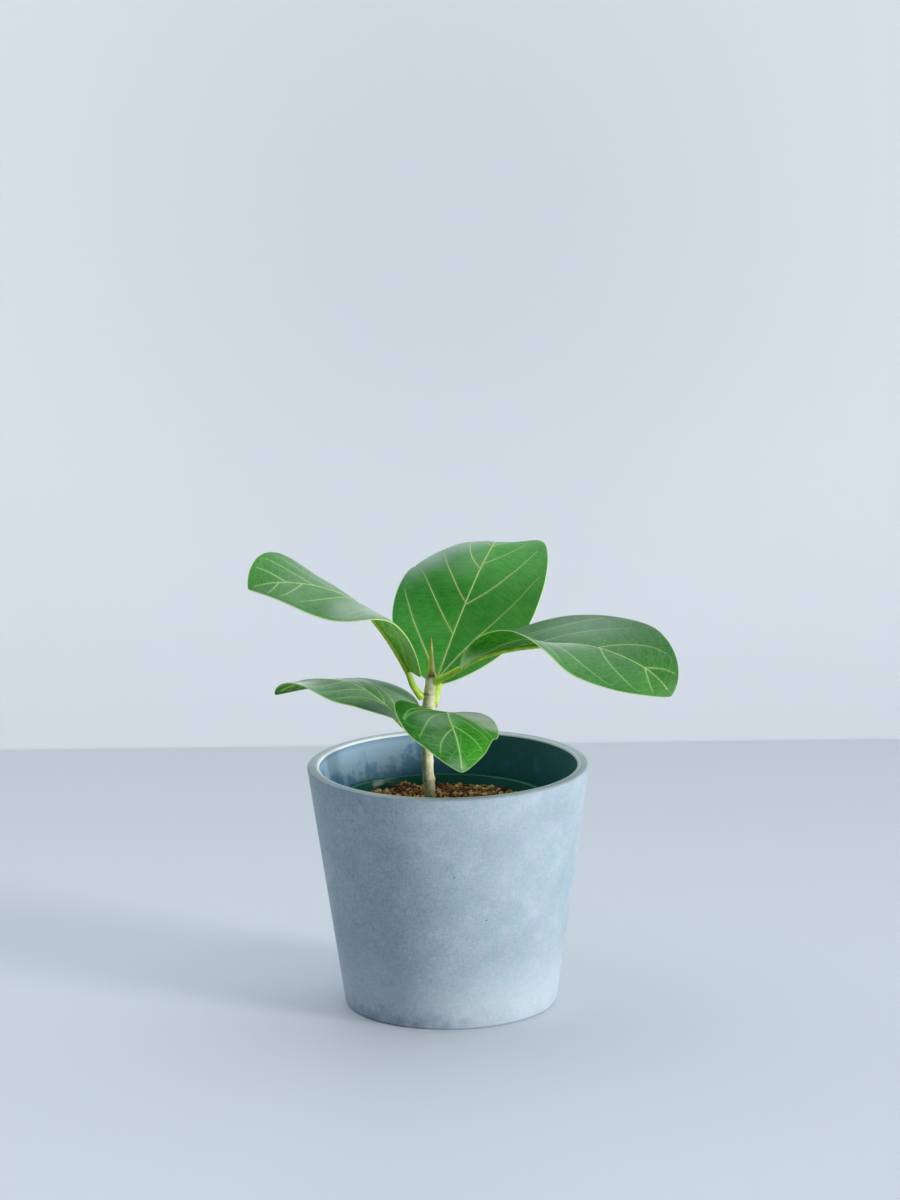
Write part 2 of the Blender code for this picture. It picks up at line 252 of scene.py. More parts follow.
@dataclass(frozen=True)
class StoneFilledPlastic(Finish):
    """Outside of the outer pot: moulded plastic filled with stone powder.

    The filler gives a dry matt blue-grey with soft clouds and greener patches. Scouring round
    the pot leaves faint short scuffs over the grain of the powder, there are a few pin-prick
    pits, and damp has left a ragged slate-blue tide mark just above the foot. Towards the foot
    the colour is painted paler, a painted bounce of light from the table.
    """

    name: str = "moulded_stone_filled_plastic"
    pale: str = "#aab9c8"
    deep: str = "#8b9db0"
    cool: str = "#8eabb4"
    stain: str = "#567794"
    painted_bounce_light: str = "#c6d2dc"
    pit: str = "#3f5c6c"
    cloud_size: float = 30.0
    patch_size: float = 8.0
    grain_size: float = 0.9
    scuff_width: float = 0.6
    scuff_length: float = 3.0
    pit_spacing: float = 17.0
    bounce_light_band: tuple = (45.0, 5.0)
    scuff_side: tuple = (40.0, -50.0)
    stain_band: tuple = (13.0, 3.0)
    stain_side: tuple = (18.0, -12.0)

    def surface(self, tree: Tree) -> dict[str, object]:
        """Return clouds, powder grain, scuffs, pits and foot stains."""
        at = add(tree, "TexCoord", output="Object")
        height = axis(tree, at, "Z")
        sideways = axis(tree, at, "X")
        cloud = specks(tree, at, self.cloud_size, 7.0, 0.66)
        cloudy = ramp(tree, cloud, 0.3, 0.7)
        patch = specks(tree, at, self.patch_size, 5.0, 0.7)
        green = ramp(tree, patch, 0.4, 0.62, high=0.6)
        colour = blend(tree, cloudy, self.deep, self.pale)
        tinted = blend(tree, green, colour, self.cool)
        # Painted bounce light: the colour pales towards the foot, as if lit from the table.
        foot = ramp_mm(tree, height, self.bounce_light_band, high=0.6, soft=True)
        bounce_lit = blend(tree, foot, tinted, self.painted_bounce_light)
        powder = specks(tree, at, self.grain_size, 4.0, 0.6)
        scuffed = ramp_mm(tree, sideways, self.scuff_side, low=0.13, high=0.3)
        lit = blend(tree, scuffed, bounce_lit, self.scuffs(tree, at, powder), mode="SOFT_LIGHT")
        stained = self.tide_mark(tree, at, height, sideways)
        marked = blend(tree, stained, lit, self.stain)
        cell = cells(tree, at, 1 / (self.pit_spacing * MM))
        pitted = ramp(tree, cell, 0.034, 0.016)
        final = blend(tree, pitted, marked, self.pit)
        sunk = reckon(tree, "SUBTRACT", powder, pitted)
        bump = relief(tree, sunk, 0.3, 0.1)
        rough = ramp(tree, cloud, low=0.62, high=0.8)
        return {"Base Color": final, "Roughness": rough, "Normal": bump, "IOR": 1.48,
                "Sheen Weight": 0.16, "Sheen Roughness": 0.4}

    def scuffs(self, tree: Tree, at: Socket, powder: Socket) -> Socket:
        """Weave short scuffs that run round the pot and up it with the grain of the powder.

        Args:
            tree: the material's nodes
            at: the pot's coordinates
            powder: the grain

        Returns:
            The weave, from 0 to 1.
        """
        across, along = 1 / (self.scuff_width * MM), 1 / (self.scuff_length * MM)
        stretched = add(tree, "Mapping", {"Vector": at, "Scale": (along, along, across)})
        drag = clouds(tree, stretched, 1.0, 3.0)
        upright = add(tree, "Mapping", {"Vector": at, "Scale": (across, across, along)})
        brushed = clouds(tree, upright, 0.8, 3.0)
        rubbed = reckon(tree, "ADD", drag, brushed)
        woven = reckon(tree, "ADD", rubbed, powder)
        return ramp(tree, woven, 1.2, 1.8)

    def tide_mark(self, tree: Tree, at: Socket, height: Socket, sideways: Socket) -> Socket:
        """Draw the ragged mark that damp left above the foot, mostly on one side.

        Args:
            tree: the material's nodes
            at: the pot's coordinates
            height: their height
            sideways: their place from side to side

        Returns:
            How strong the mark is.
        """
        low = ramp_mm(tree, height, self.stain_band, high=0.3)
        blotch = specks(tree, at, self.patch_size, 5.0, 0.6)
        wet = reckon(tree, "ADD", low, blotch)
        damp = ramp(tree, wet, 0.6, 0.95, high=0.6)
        left = ramp_mm(tree, sideways, self.stain_side, low=0.2)
        return reckon(tree, "MULTIPLY", damp, left)


@dataclass(frozen=True)
class TrimmedRim(Finish):
    """Flat rim of the outer pot: the same filled plastic where the mould closes.

    It is paler and greyer than the wall, with a fine speckle of filler grains, and a painted
    highlight along its inner edge.
    """

    name: str = "trimmed_stone_filled_plastic"
    base: str = "#c4d0d8"
    grain: str = "#aebdc7"
    lip: str = "#f0f5f5"
    highlight_band: tuple = (71.2, 69.6)
    speck_size: float = 1.2
    patch_size: float = 15.0

    def surface(self, tree: Tree) -> dict[str, object]:
        """Return speckle and soft patches."""
        at = add(tree, "TexCoord", output="Object")
        speck = specks(tree, at, self.speck_size, 5.0)
        patch = specks(tree, at, self.patch_size, 3.0)
        mixed = reckon(tree, "ADD", speck, patch)
        share = ramp(tree, mixed, 0.75, 1.25)
        speckled = blend(tree, share, self.grain, self.base)
        level = add(tree, "Mapping", {"Vector": at, "Scale": (1.0, 1.0, 0.0)})
        # Painted highlight: a near-white band along the rim's inner edge.
        out = length_of(tree, level)
        inner = ramp_mm(tree, out, self.highlight_band, high=0.85, soft=True)
        colour = blend(tree, inner, speckled, self.lip)
        bump = relief(tree, speck, 0.2, 0.12)
        return {"Base Color": colour, "Roughness": 0.66, "Normal": bump, "IOR": 1.48}


@dataclass(frozen=True)
class LimeStainedWall(Finish):
    """Inside of the outer pot: filled plastic that hard water has run over many times.

    Bare plastic is a wet-looking dark teal. A thin film of lime turns it slate blue, and where
    the film has built up, near the rim, it dries to a chalky pale blue with ragged drips along
    its lower edge. Film and chalk lean to the side that the key light reaches, as painted
    light, and the dark teal left bare on the far side is painted shade.
    """

    name: str = "lime_stained_filled_plastic"
    bare: str = "#27747a"
    film: str = "#4a84ab"
    chalk: str = "#8dadc7"
    drip_width: float = 3.2
    drip_length: float = 7.0
    blotch_size: float = 13.0
    film_band: tuple = (104.0, 127.0)
    painted_light_side: tuple = (24.0, -28.0)
    rim_band: tuple = (128.6, 126.6)

    def surface(self, tree: Tree) -> dict[str, object]:
        """Return the film over the bare wall, thick on one side and thin below."""
        at = add(tree, "TexCoord", output="Object")
        height = axis(tree, at, "Z")
        across = axis(tree, at, "X")
        wide, tall = 1 / (self.drip_width * MM), 1 / (self.drip_length * MM)
        drawn = add(tree, "Mapping", {"Vector": at, "Scale": (wide, wide, tall)})
        drip = clouds(tree, drawn, 0.8, 6.0, 0.62)
        blotch = specks(tree, at, self.blotch_size, 7.0, 0.64, warp=0.4)
        small = reckon(tree, "MULTIPLY", drip, 0.55)
        mixed = reckon(tree, "ADD", small, blotch)
        depth = ramp_mm(tree, height, self.film_band, low=-0.17, high=0.13)
        raised = reckon(tree, "ADD", mixed, depth)
        # Painted light and shade: the film leans to the key-lit side and leaves dark teal on the
        # shaded side.
        lit_side_film = ramp_mm(tree, across, self.painted_light_side, low=-0.42, high=0.3)
        washed = reckon(tree, "ADD", mixed, lit_side_film)
        thin = ramp(tree, washed, 0.4, 0.7, soft=True)
        # Painted light: the chalk also builds up on the key-lit side.
        dried = ramp_mm(tree, across, self.painted_light_side, low=-0.5, high=0.1)
        build_up = reckon(tree, "ADD", raised, dried)
        caked = ramp(tree, build_up, 0.74, 0.96, soft=True)
        below_rim = ramp_mm(tree, height, self.rim_band, low=0.4)
        thick = reckon(tree, "MULTIPLY", caked, below_rim)
        filmed = blend(tree, thin, self.bare, self.film)
        colour = blend(tree, thick, filmed, self.chalk)
        rough = ramp(tree, thick, low=0.55, high=0.85)
        bump = relief(tree, build_up, 0.25, 0.1)
        return {"Base Color": colour, "Roughness": rough, "Normal": bump, "IOR": 1.48}


@dataclass(frozen=True)
class InjectedPolypropylene(Finish):
    """Grower's pot: thin injection-moulded polypropylene.

    It is a bottle green with a low oily gloss, dulled in places by dried soil splashes, with one
    ragged pale spot inside the lip that is a painted highlight, a glint on the gloss.
    """

    name: str = "injected_green_polypropylene"
    base: str = "#0d6b5a"
    dust: str = "#41574a"
    lime: str = "#bfd2d4"
    glint_at: tuple = (-38.5, 46.0, 107.6)
    glint_size: float = 2.6
    glint_shape: tuple = (1 / 1.8, 1 / 1.8, 1.3)
    glint_tear: float = 0.8
    smear_size: float = 7.0

    def surface(self, tree: Tree) -> dict[str, object]:
        """Return green plastic with thin dust."""
        at = add(tree, "TexCoord", output="Object")
        smear = specks(tree, at, self.smear_size, 6.0, 0.7)
        dusty = ramp(tree, smear, 0.6, 0.76, high=0.4)
        colour = blend(tree, dusty, self.base, self.dust)
        # Painted highlight: a pale ragged glint on the lip's inner wall.
        spot = tuple(-value * scale * MM for value, scale in zip(self.glint_at, self.glint_shape))
        moved = add(tree, "Mapping", {"Vector": at, "Location": spot, "Scale": self.glint_shape})
        away = length_of(tree, moved)
        ragged = ramp(tree, smear, 0.3, 0.7, low=self.glint_tear * MM, high=-self.glint_tear * MM)
        torn = reckon(tree, "ADD", away, ragged)
        glinted = ramp_mm(tree, torn, (self.glint_size, 0.3 * self.glint_size), high=0.75)
        final = blend(tree, glinted, colour, self.lime)
        rough = ramp(tree, dusty, low=0.26, high=0.8)
        return {"Base Color": final, "Roughness": rough, "IOR": 1.49}


@dataclass(frozen=True)
class PottingMix(Finish):
    """Grains of the potting mix: baked clay and bark, each with a tone of its own.

    The tones run from charred brown to golden tan, dusty and fully matt.
    """

    name: str = "baked_clay_and_bark_grains"
    dark: str = "#2c190c"
    brown: str = "#9c6833"
    tan: str = "#d9ac6b"
    cream: str = "#f4e0b8"
    dust_size: float = 1.4
    pore_size: float = 0.5
    steps: tuple = ((0.08, 0.38), (0.36, 0.72), (0.76, 1.0))

    def surface(self, tree: Tree) -> dict[str, object]:
        """Return colours picked by each grain's tone, broken up by dust."""
        at = add(tree, "TexCoord", output="Object")
        tone = stored(tree, "tone")
        dust = specks(tree, at, self.dust_size, 5.0)
        shift = ramp(tree, dust, low=-0.16, high=0.16)
        value = reckon(tree, "ADD", tone, shift)
        colour = self.dark
        for (start, end), lighter in zip(self.steps, (self.brown, self.tan, self.cream)):
            colour = blend(tree, ramp(tree, value, start, end), colour, lighter)
        pores = cells(tree, at, 1 / (self.pore_size * MM))
        bump = relief(tree, pores, 0.5, 0.2)
        return {"Base Color": colour, "Roughness": 0.95, "Normal": bump, "IOR": 1.45}


@dataclass(frozen=True)
class FigBark(Finish):
    """Young fig bark: thin grey-green skin over a pale stem.

    The side that faces the key light is painted paler, towards cream, as painted light, and the
    other stays olive. Corky flecks run up it and thin brown rings cross it where leaves stood.
    """

    name: str = "young_fig_bark"
    green: str = "#a8b67c"
    young: str = "#aec07a"
    beige: str = "#dedfc2"
    cork: str = "#8a7f54"
    ring: str = "#84643c"
    rings: tuple = ((121.4, 0.35), (150.0, 0.4), (162.0, 0.25), (168.9, 0.85), (177.6, 0.6))
    ring_depth: float = 0.42
    ring_side: tuple = (-8.1, -11.1)
    young_band: tuple = (167.0, 170.0)
    patch_size: float = 3.2
    flecks_per_metre: tuple = (1100.0, 1100.0, 230.0)
    waver: float = 0.5

    def surface(self, tree: Tree) -> dict[str, object]:
        """Return mottled bark with ring scars at their heights."""
        at = add(tree, "TexCoord", output="Object")
        height = axis(tree, at, "Z")
        patch = specks(tree, at, self.patch_size, 5.0, 0.7)
        share = ramp(tree, patch, 0.34, 0.62)
        fresh = ramp_mm(tree, height, self.young_band)
        green = blend(tree, fresh, self.green, self.young)
        # Painted light: the side that faces the key light is lifted towards cream.
        key_lit_side = stored(tree, "key_lit_side")
        lean = ramp(tree, key_lit_side, 0.25, 0.95, low=-0.4, high=0.3)
        pale_and_key_lit = reckon(tree, "ADD", share, lean, clamp=True)
        skin = blend(tree, pale_and_key_lit, green, self.beige)
        drawn = add(tree, "Mapping", {"Vector": at, "Scale": self.flecks_per_metre})
        fleck = clouds(tree, drawn, 1.0, 4.0)
        corky = ramp(tree, fleck, 0.58, 0.74, high=0.75)
        barked = blend(tree, corky, skin, self.cork)
        shift = ramp(tree, patch, low=-self.waver * MM, high=self.waver * MM)
        level = reckon(tree, "ADD", height, shift)
        side = ramp_mm(tree, axis(tree, at, "X"), self.ring_side, low=0.25)
        colour = self.ringed(tree, level, side, barked)
        rough = ramp(tree, fleck, low=0.55, high=0.85)
        bump = relief(tree, fleck, 0.4, 0.12)
        return {"Base Color": colour, "Roughness": rough, "Normal": bump, "IOR": 1.45,
                "Subsurface Weight": 0.5, "Subsurface Scale": 2.0 * MM}

    def ringed(self, tree: Tree, level: Socket, side: Socket, colour: Socket) -> Socket:
        """Draw the ring scars over the bark.

        Args:
            tree: the material's nodes
            level: height, wavering a little so that no ring is straight
            side: how plainly the rings show from side to side
            colour: the bark's colour

        Returns:
            The colour with its rings.
        """
        band = (2 * self.ring_depth, 0.3 * self.ring_depth)
        for height, strength in self.rings:
            off = reckon(tree, "SUBTRACT", level, height * MM)
            near = reckon(tree, "ABSOLUTE", off)
            ring = ramp_mm(tree, near, band, high=strength)
            shown = reckon(tree, "MULTIPLY", ring, side)
            colour = blend(tree, shown, colour, self.ring)
        return colour


@dataclass(frozen=True)
class BudScale(Finish):
    """Sheath of the terminal bud: a waxy scale rolled to a point.

    It is olive, brown where it is seated and orange where the tip dries. It is painted a pale
    tan on the side that faces the key light, as painted light.
    """

    name: str = "waxy_bud_scale"
    foot: str = "#7a5524"
    olive: str = "#d4dc44"
    tan: str = "#ecdcb0"
    tip: str = "#d8913c"
    dried: tuple = (0.78, 0.97)
    seated: tuple = (0.24, 0.03)
    key_lit_band: tuple = (0.1, 1.0)
    fibres_per_metre: tuple = (2500.0, 2500.0, 120.0)

    def surface(self, tree: Tree) -> dict[str, object]:
        """Return a gradient up the bud, painted tan on its key-lit side, with fine fibres."""
        low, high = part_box("terminal_bud")
        at = add(tree, "TexCoord", output="Object")
        height = axis(tree, at, "Z")
        across = axis(tree, at, "X")
        middle = 0.5 * (low[0] + high[0])
        # Painted light: the bud pales to tan on the side that faces the key light.
        seam = ramp(tree, across, *(middle + side * MM for side in self.key_lit_band))
        body = blend(tree, seam, self.olive, self.tan)
        rise = high[2] - low[2]
        dry = ramp(tree, height, *(low[2] + share * rise for share in self.dried))
        tipped = blend(tree, dry, body, self.tip)
        seat = ramp(tree, height, *(low[2] + share * rise for share in self.seated), high=0.9)
        colour = blend(tree, seat, tipped, self.foot)
        drawn = add(tree, "Mapping", {"Vector": at, "Scale": self.fibres_per_metre})
        fibre = clouds(tree, drawn, 1.0, 2.0)
        bump = relief(tree, fibre, 0.3, 0.08)
        return {"Base Color": colour, "Roughness": 0.42, "Normal": bump, "IOR": 1.45,
                "Subsurface Weight": 0.4, "Subsurface Scale": 1.0 * MM,
                "Subsurface Radius": (1.0, 0.9, 0.3)}


# Streaks between a leaf's side veins: their lean from the midrib, and their breadth and length.
RIB_LEAN = math.radians(20)
RIB_SIZE = (1.1 / FLAT, 7.0 / FLAT, 1.0)


def rib_noise(tree: Tree, flat: Socket) -> Socket:
    """Return streaks that cross from one side vein to the next, mirrored over the midrib.

    Args:
        tree: the material's nodes
        flat: the flat blade's coordinates, in tenths of a metre

    Returns:
        The socket with the streaks, around 0.5.
    """
    x = axis(tree, flat, "X")
    y = axis(tree, flat, "Y")
    folded = reckon(tree, "ABSOLUTE", y)
    both = add(tree, "CombineXYZ", {0: x, 1: folded})
    drawn = add(tree, "Mapping", {"Vector": both, "Rotation": (0.0, 0.0, RIB_LEAN),
                                  "Scale": RIB_SIZE}, vector_type="TEXTURE")
    return clouds(tree, drawn, 1.0, 3.0, 0.6)


@dataclass(frozen=True)
class LeafFace(Finish):
    """Upper face of a banyan leaf: leathery, waxed, deep green.

    The wax gives a broad satin gloss, and its bloom a pale haze where the leaf is seen edge on.
    The green pales beside the veins and at the edge, with a net of fine veins between the main
    ones. Round patches of painted sheen pale it where the leaf catches the bright room, and a
    leaf's green may lean paler towards one half as painted light.
    """

    name: str = "waxed_leaf_face"
    deep: str = "#266820"
    fresh: str = "#467f3a"
    pale: str = "#86bc62"
    edge: str = "#c4dca6"
    net: str = "#62a850"
    painted_sheen: str = "#c6d4c8"
    bloom: float = 0.4
    lit_half_lean: float = 0.0
    painted_sheen_patches: tuple = ()
    roughness: float = 0.44
    ior: float = 1.34
    cloud_size: float = 22.0
    bend_size: float = 9.0
    net_size: float = 5.5

    def surface(self, tree: Tree) -> dict[str, object]:
        """Return mottled green with its vein net, vein borders and pale edge."""
        flat = add(tree, "TexCoord", output="UV")
        cloud = clouds(tree, flat, FLAT / self.cloud_size, 4.0)
        mottle = ramp(tree, cloud, 0.2, 0.85)
        place = axis(tree, flat, "Y")
        # Painted light and shade: the green leans paler towards one half of the blade, by how it
        # is lit.
        young = reckon(tree, "MULTIPLY_ADD", place, self.lit_half_lean, mottle, clamp=True)
        green = blend(tree, young, self.deep, self.fresh)
        bend = clouds(tree, flat, FLAT / self.bend_size, 2.0, output="Color")
        shifted = blend(tree, 0.06, flat, bend)
        coarse = cells(tree, shifted, FLAT / self.net_size, walls=True)
        fine = cells(tree, shifted, 3 * FLAT / self.net_size, walls=True)
        ribs = rib_noise(tree, flat)
        ribbed = ramp(tree, ribs, 0.3, 0.7)
        combed = blend(tree, 0.3, green, ribbed, mode="SOFT_LIGHT")
        netted = blend(tree, self.web(tree, coarse, fine), combed, self.net)
        beside = ramp(tree, stored(tree, "to_vein"), 1.0, 0.05, high=0.5, soft=True)
        veined = blend(tree, beside, netted, self.pale)
        border = ramp(tree, stored(tree, "to_edge"), 0.55, 0.1, high=0.6)
        bordered = blend(tree, border, veined, self.edge)
        # Painted sheen: pale patches stand for the bright room reflected in the wax.
        colour = blend(tree, self.painted_sheen_share(tree, flat), bordered, self.painted_sheen)
        puffed = reckon(tree, "ADD", coarse, fine)
        swell = reckon(tree, "ADD", puffed, ribs)
        bump = relief(tree, swell, 0.16, 0.3)
        rough = ramp(tree, cloud, low=self.roughness - 0.05, high=self.roughness + 0.07)
        return {"Base Color": colour, "Roughness": rough, "Normal": bump, "IOR": self.ior,
                "Sheen Weight": self.bloom, "Sheen Roughness": 0.35,
                "Sheen Tint": linear("#e4ecf4"),
                "Subsurface Weight": 0.5, "Subsurface Scale": 1.2 * MM,
                "Subsurface Radius": (0.5, 1.0, 0.15)}

    def web(self, tree: Tree, coarse: Socket, fine: Socket) -> Socket:
        """Draw the net of fine veins, strongest where they cross from one side vein to the next.

        Args:
            tree: the material's nodes
            coarse: distance to the walls of the net's wide cells
            fine: distance to the walls of its narrow ones

        Returns:
            How strongly the net shows.
        """
        coarse_line = ramp(tree, coarse, 0.05, 0.0, high=0.3)
        fine_line = ramp(tree, fine, 0.1, 0.0, high=0.16)
        rung = ramp(tree, stored(tree, "to_net"), 0.7, 0.1, high=0.35, soft=True)
        either = reckon(tree, "MAXIMUM", coarse_line, fine_line)
        return reckon(tree, "MAXIMUM", either, rung)

    def painted_sheen_share(self, tree: Tree, flat: Socket) -> Socket | float:
        """Return the share of painted sheen, highest in the middle of each patch.

        Args:
            tree: the material's nodes
            flat: the flat blade's coordinates, in tenths of a metre

        Returns:
            The share of painted sheen, or 0 where there are no patches.
        """
        most = 0.0
        for x, y, radius, strength in self.painted_sheen_patches:
            off = add(tree, "Mapping", {"Vector": flat, "Location": (-x / FLAT, -y / FLAT, 0.0)})
            away = length_of(tree, off)
            patch = ramp(tree, away, radius / FLAT, 0.25 * radius / FLAT, high=strength, soft=True)
            most = reckon(tree, "MAXIMUM", most, patch)
        return most


@dataclass(frozen=True)
class LeafBack(Finish):
    """Underside of a banyan leaf: unwaxed and dull, with its vein net raised.

    The softer tissue lets light through, so it glows a clear green, and it is palest at the
    foot where the main veins part.
    """

    name: str = "dull_leaf_back"
    deep: str = "#147400"
    fresh: str = "#308e00"
    net: str = "#7cb43c"
    foot: str = "#c4d8a4"
    foot_share: float = 0.6
    foot_band: tuple = (22.0, 8.0)
    cloud_size: float = 18.0
    net_size: float = 5.0

    def surface(self, tree: Tree) -> dict[str, object]:
        """Return green tissue with a raised vein net and a pale foot."""
        flat = add(tree, "TexCoord", output="UV")
        to_vein = stored(tree, "to_vein")
        cloud = clouds(tree, flat, FLAT / self.cloud_size, 4.0)
        mottle = ramp(tree, cloud, 0.32, 0.7)
        green = blend(tree, mottle, self.deep, self.fresh)
        ribbed = ramp(tree, rib_noise(tree, flat), 0.3, 0.7)
        combed = blend(tree, 0.5, green, ribbed, mode="SOFT_LIGHT")
        mesh = cells(tree, flat, FLAT / self.net_size, walls=True)
        line = ramp(tree, mesh, 0.09, 0.0, high=0.4)
        netted = blend(tree, line, combed, self.net)
        beside = ramp(tree, to_vein, 1.4, 0.1, high=0.6, soft=True)
        veined = blend(tree, beside, netted, self.net)
        along = axis(tree, flat, "X")
        start, end = (x / FLAT for x in self.foot_band)
        faded = ramp(tree, along, start, end, high=self.foot_share, soft=True)
        colour = blend(tree, faded, veined, self.foot)
        bump = relief(tree, line, 0.25, 0.25)
        return {"Base Color": colour, "Roughness": 0.5, "Normal": bump, "IOR": 1.32,
                "Subsurface Weight": 0.75, "Subsurface Scale": 1.8 * MM,
                "Subsurface Radius": (0.7, 1.0, 0.12)}


@dataclass(frozen=True)
class VeinTissue(Finish):
    """Main veins and the leaf's edge: smooth pale tissue with little green in it."""

    name: str = "pale_vein_tissue"
    base: str = "#b4dc74"
    warm: str = "#cfe890"
    cloud_size: float = 6.0

    def surface(self, tree: Tree) -> dict[str, object]:
        """Return a pale yellow-green with slow changes along it."""
        at = add(tree, "TexCoord", output="Object")
        cloud = specks(tree, at, self.cloud_size, 2.0)
        colour = blend(tree, cloud, self.base, self.warm)
        return {"Base Color": colour, "Roughness": 0.42, "IOR": 1.45,
                "Subsurface Weight": 0.3, "Subsurface Scale": 0.8 * MM,
                "Subsurface Radius": (0.8, 1.0, 0.4)}


@dataclass(frozen=True)
class PetioleSkin(Finish):
    """Leaf stalks and the midribs' undersides: taut, juicy, bright lime green.

    Soft lighter patches show through the skin, which has a waxy gloss.
    """

    name: str = "taut_petiole_skin"
    lime: str = "#aeda30"
    yellow: str = "#d2ea68"
    cloud_size: float = 3.5

    def surface(self, tree: Tree) -> dict[str, object]:
        """Return lime green with soft lighter patches."""
        at = add(tree, "TexCoord", output="Object")
        cloud = specks(tree, at, self.cloud_size, 3.0)
        share = ramp(tree, cloud, 0.35, 0.68)
        colour = blend(tree, share, self.lime, self.yellow)
        bump = relief(tree, cloud, 0.15, 0.2)
        return {"Base Color": colour, "Roughness": 0.36, "Normal": bump, "IOR": 1.45,
                "Subsurface Weight": 0.6, "Subsurface Scale": 2.5 * MM,
                "Subsurface Radius": (0.8, 1.0, 0.25)}


@dataclass(frozen=True)
class MidribBack(PetioleSkin):
    """Undersides of the midrib and side veins: the same juicy tissue, paler than the stalks.

    The paler colours are painted light, standing for light that shines through the blade.
    """

    name: str = "glow_painted_midrib_back"
    # Painted light: paler colours stand for light shining through the blade.
    lime: str = "#bce440"
    yellow: str = "#dcf478"


@dataclass(frozen=True)
class PaintedPlaster(Finish):
    """Table and wall behind the part: flat pale paint, uneven, with painted shade mid-wall.

    The wall lets a camera behind it see through.
    """

    name: str = "painted_plaster"
    wall: str = "#e0e6ef"
    table: str = "#dfe3ea"
    painted_wall_shade: str = "#cdd3dd"
    wall_shade_height: float = 340.0
    wall_shade_band: tuple = (330.0, 40.0)
    foot_band: tuple = (0.5, 2.0)

    def surface(self, tree: Tree) -> dict[str, object]:
        """Return the wall's colour above the cove and the table's below it."""
        at = add(tree, "TexCoord", output="Object")
        height = axis(tree, at, "Z")
        cloud = clouds(tree, at, 4.0, 3.0)
        upper = ramp_mm(tree, height, self.foot_band)
        # Painted shade: the wall darkens in a soft round patch behind the part.
        level = add(tree, "Mapping", {"Vector": at, "Scale": (1.0, 0.0, 1.0),
                                      "Location": (0.0, 0.0, -self.wall_shade_height * MM)})
        away = length_of(tree, level)
        shade = ramp_mm(tree, away, self.wall_shade_band, high=0.6, soft=True)
        plaster = blend(tree, shade, self.wall, self.painted_wall_shade)
        paint = blend(tree, upper, self.table, plaster)
        share = ramp(tree, cloud, low=0.47, high=0.53)
        colour = blend(tree, 0.5, paint, share, mode="SOFT_LIGHT")
        rough = ramp(tree, upper, low=0.5, high=0.9)
        behind = add(tree, "NewGeometry", output="Backfacing")
        looking = add(tree, "LightPath", output="Is Camera Ray")
        looked_through = reckon(tree, "MULTIPLY", behind, looking)
        shown = reckon(tree, "SUBTRACT", 1.0, looked_through)
        return {"Base Color": colour, "Roughness": rough, "IOR": 1.3, "Alpha": shown}


# ---------------------------------------------------------------- modelling helpers


def start_clean() -> None:
    """Leave edit mode and select nothing, so that an operator acts only on what follows."""
    if bpy.context.mode != "OBJECT":
        bpy.ops.object.mode_set(mode="OBJECT")
    bpy.ops.object.select_all(action="DESELECT")


def select(*pieces: Piece) -> None:
    """Select pieces and nothing else.

    Args:
        pieces: what to select, with the piece that becomes active first
    """
    start_clean()
    for piece in pieces:
        piece.select_set(True)
    bpy.context.view_layer.objects.active = pieces[0]


def open_mesh() -> None:
    """Open the active piece's mesh in edit mode with everything selected."""
    bpy.ops.object.mode_set(mode="EDIT")
    bpy.ops.mesh.select_all(action="SELECT")


def close_solid() -> None:
    """Turn all faces of the open mesh outwards and leave edit mode."""
    bpy.ops.mesh.select_all(action="SELECT")
    bpy.ops.mesh.normals_make_consistent(inside=False)
    bpy.ops.object.mode_set(mode="OBJECT")


def settle(piece: Piece, name: str) -> Piece:
    """Name a piece and put its place into its mesh.

    Args:
        piece: a new mesh object
        name: name for the object and its mesh

    Returns:
        The same piece.
    """
    select(piece)
    bpy.ops.object.transform_apply(location=True, rotation=True, scale=True)
    piece.name = name
    piece.data.name = name
    return piece


def smooth_by_angle(piece: Piece, degrees: float) -> None:
    """Shade a piece smooth, except across edges sharper than an angle."""
    select(piece)
    bpy.ops.object.shade_smooth_by_angle(angle=math.radians(degrees))


def apply_modifier(piece: Piece, kind: str, **settings: object) -> None:
    """Add a modifier to a piece and apply it.

    Args:
        piece: mesh object that takes it
        kind: Blender's type of modifier
        settings: the modifier's properties
    """
    select(piece)
    bpy.ops.object.modifier_add(type=kind)
    modifier = piece.modifiers[-1]
    for name, value in settings.items():
        setattr(modifier, name, value)
    bpy.ops.object.modifier_apply(modifier=modifier.name)


def join(pieces: list[Piece], name: str) -> Piece:
    """Join pieces into the first one.

    Args:
        pieces: mesh objects to join
        name: name for the whole

    Returns:
        The joined piece.
    """
    select(*pieces)
    bpy.ops.object.join()
    pieces[0].name = name
    pieces[0].data.name = name
    return pieces[0]


def points_of(mesh: Mesh) -> np.ndarray:
    """Read a mesh's vertices.

    Args:
        mesh: any mesh

    Returns:
        One row of three coordinates in metres for each.
    """
    rows = np.empty(len(mesh.vertices) * 3)
    mesh.vertices.foreach_get("co", rows)
    return rows.reshape(-1, 3)


def move_points(mesh: Mesh, rows: np.ndarray) -> None:
    """Put a mesh's vertices at new places."""
    mesh.vertices.foreach_set("co", rows.ravel())
    mesh.update()


def set_attribute(mesh: Mesh, name: str, values: np.ndarray) -> None:
    """Store one number per vertex under a name."""
    layer = mesh.attributes.new(name, "FLOAT", "POINT")
    layer.data.foreach_set("value", np.asarray(values, dtype=np.float32))


def set_flat(mesh: Mesh, x: np.ndarray, y: np.ndarray) -> None:
    """Store the flat blade's coordinates as the mesh's texture coordinates.

    Args:
        mesh: the blade's mesh
        x: each vertex's place along the flat blade, in mm
        y: each vertex's place across it, in mm
    """
    layer = mesh.uv_layers.active or mesh.uv_layers.new()
    corners = np.empty(len(mesh.loops), dtype=np.int32)
    mesh.loops.foreach_get("vertex_index", corners)
    layer.data.foreach_set("uv", (np.column_stack([x, y])[corners] / FLAT).ravel())


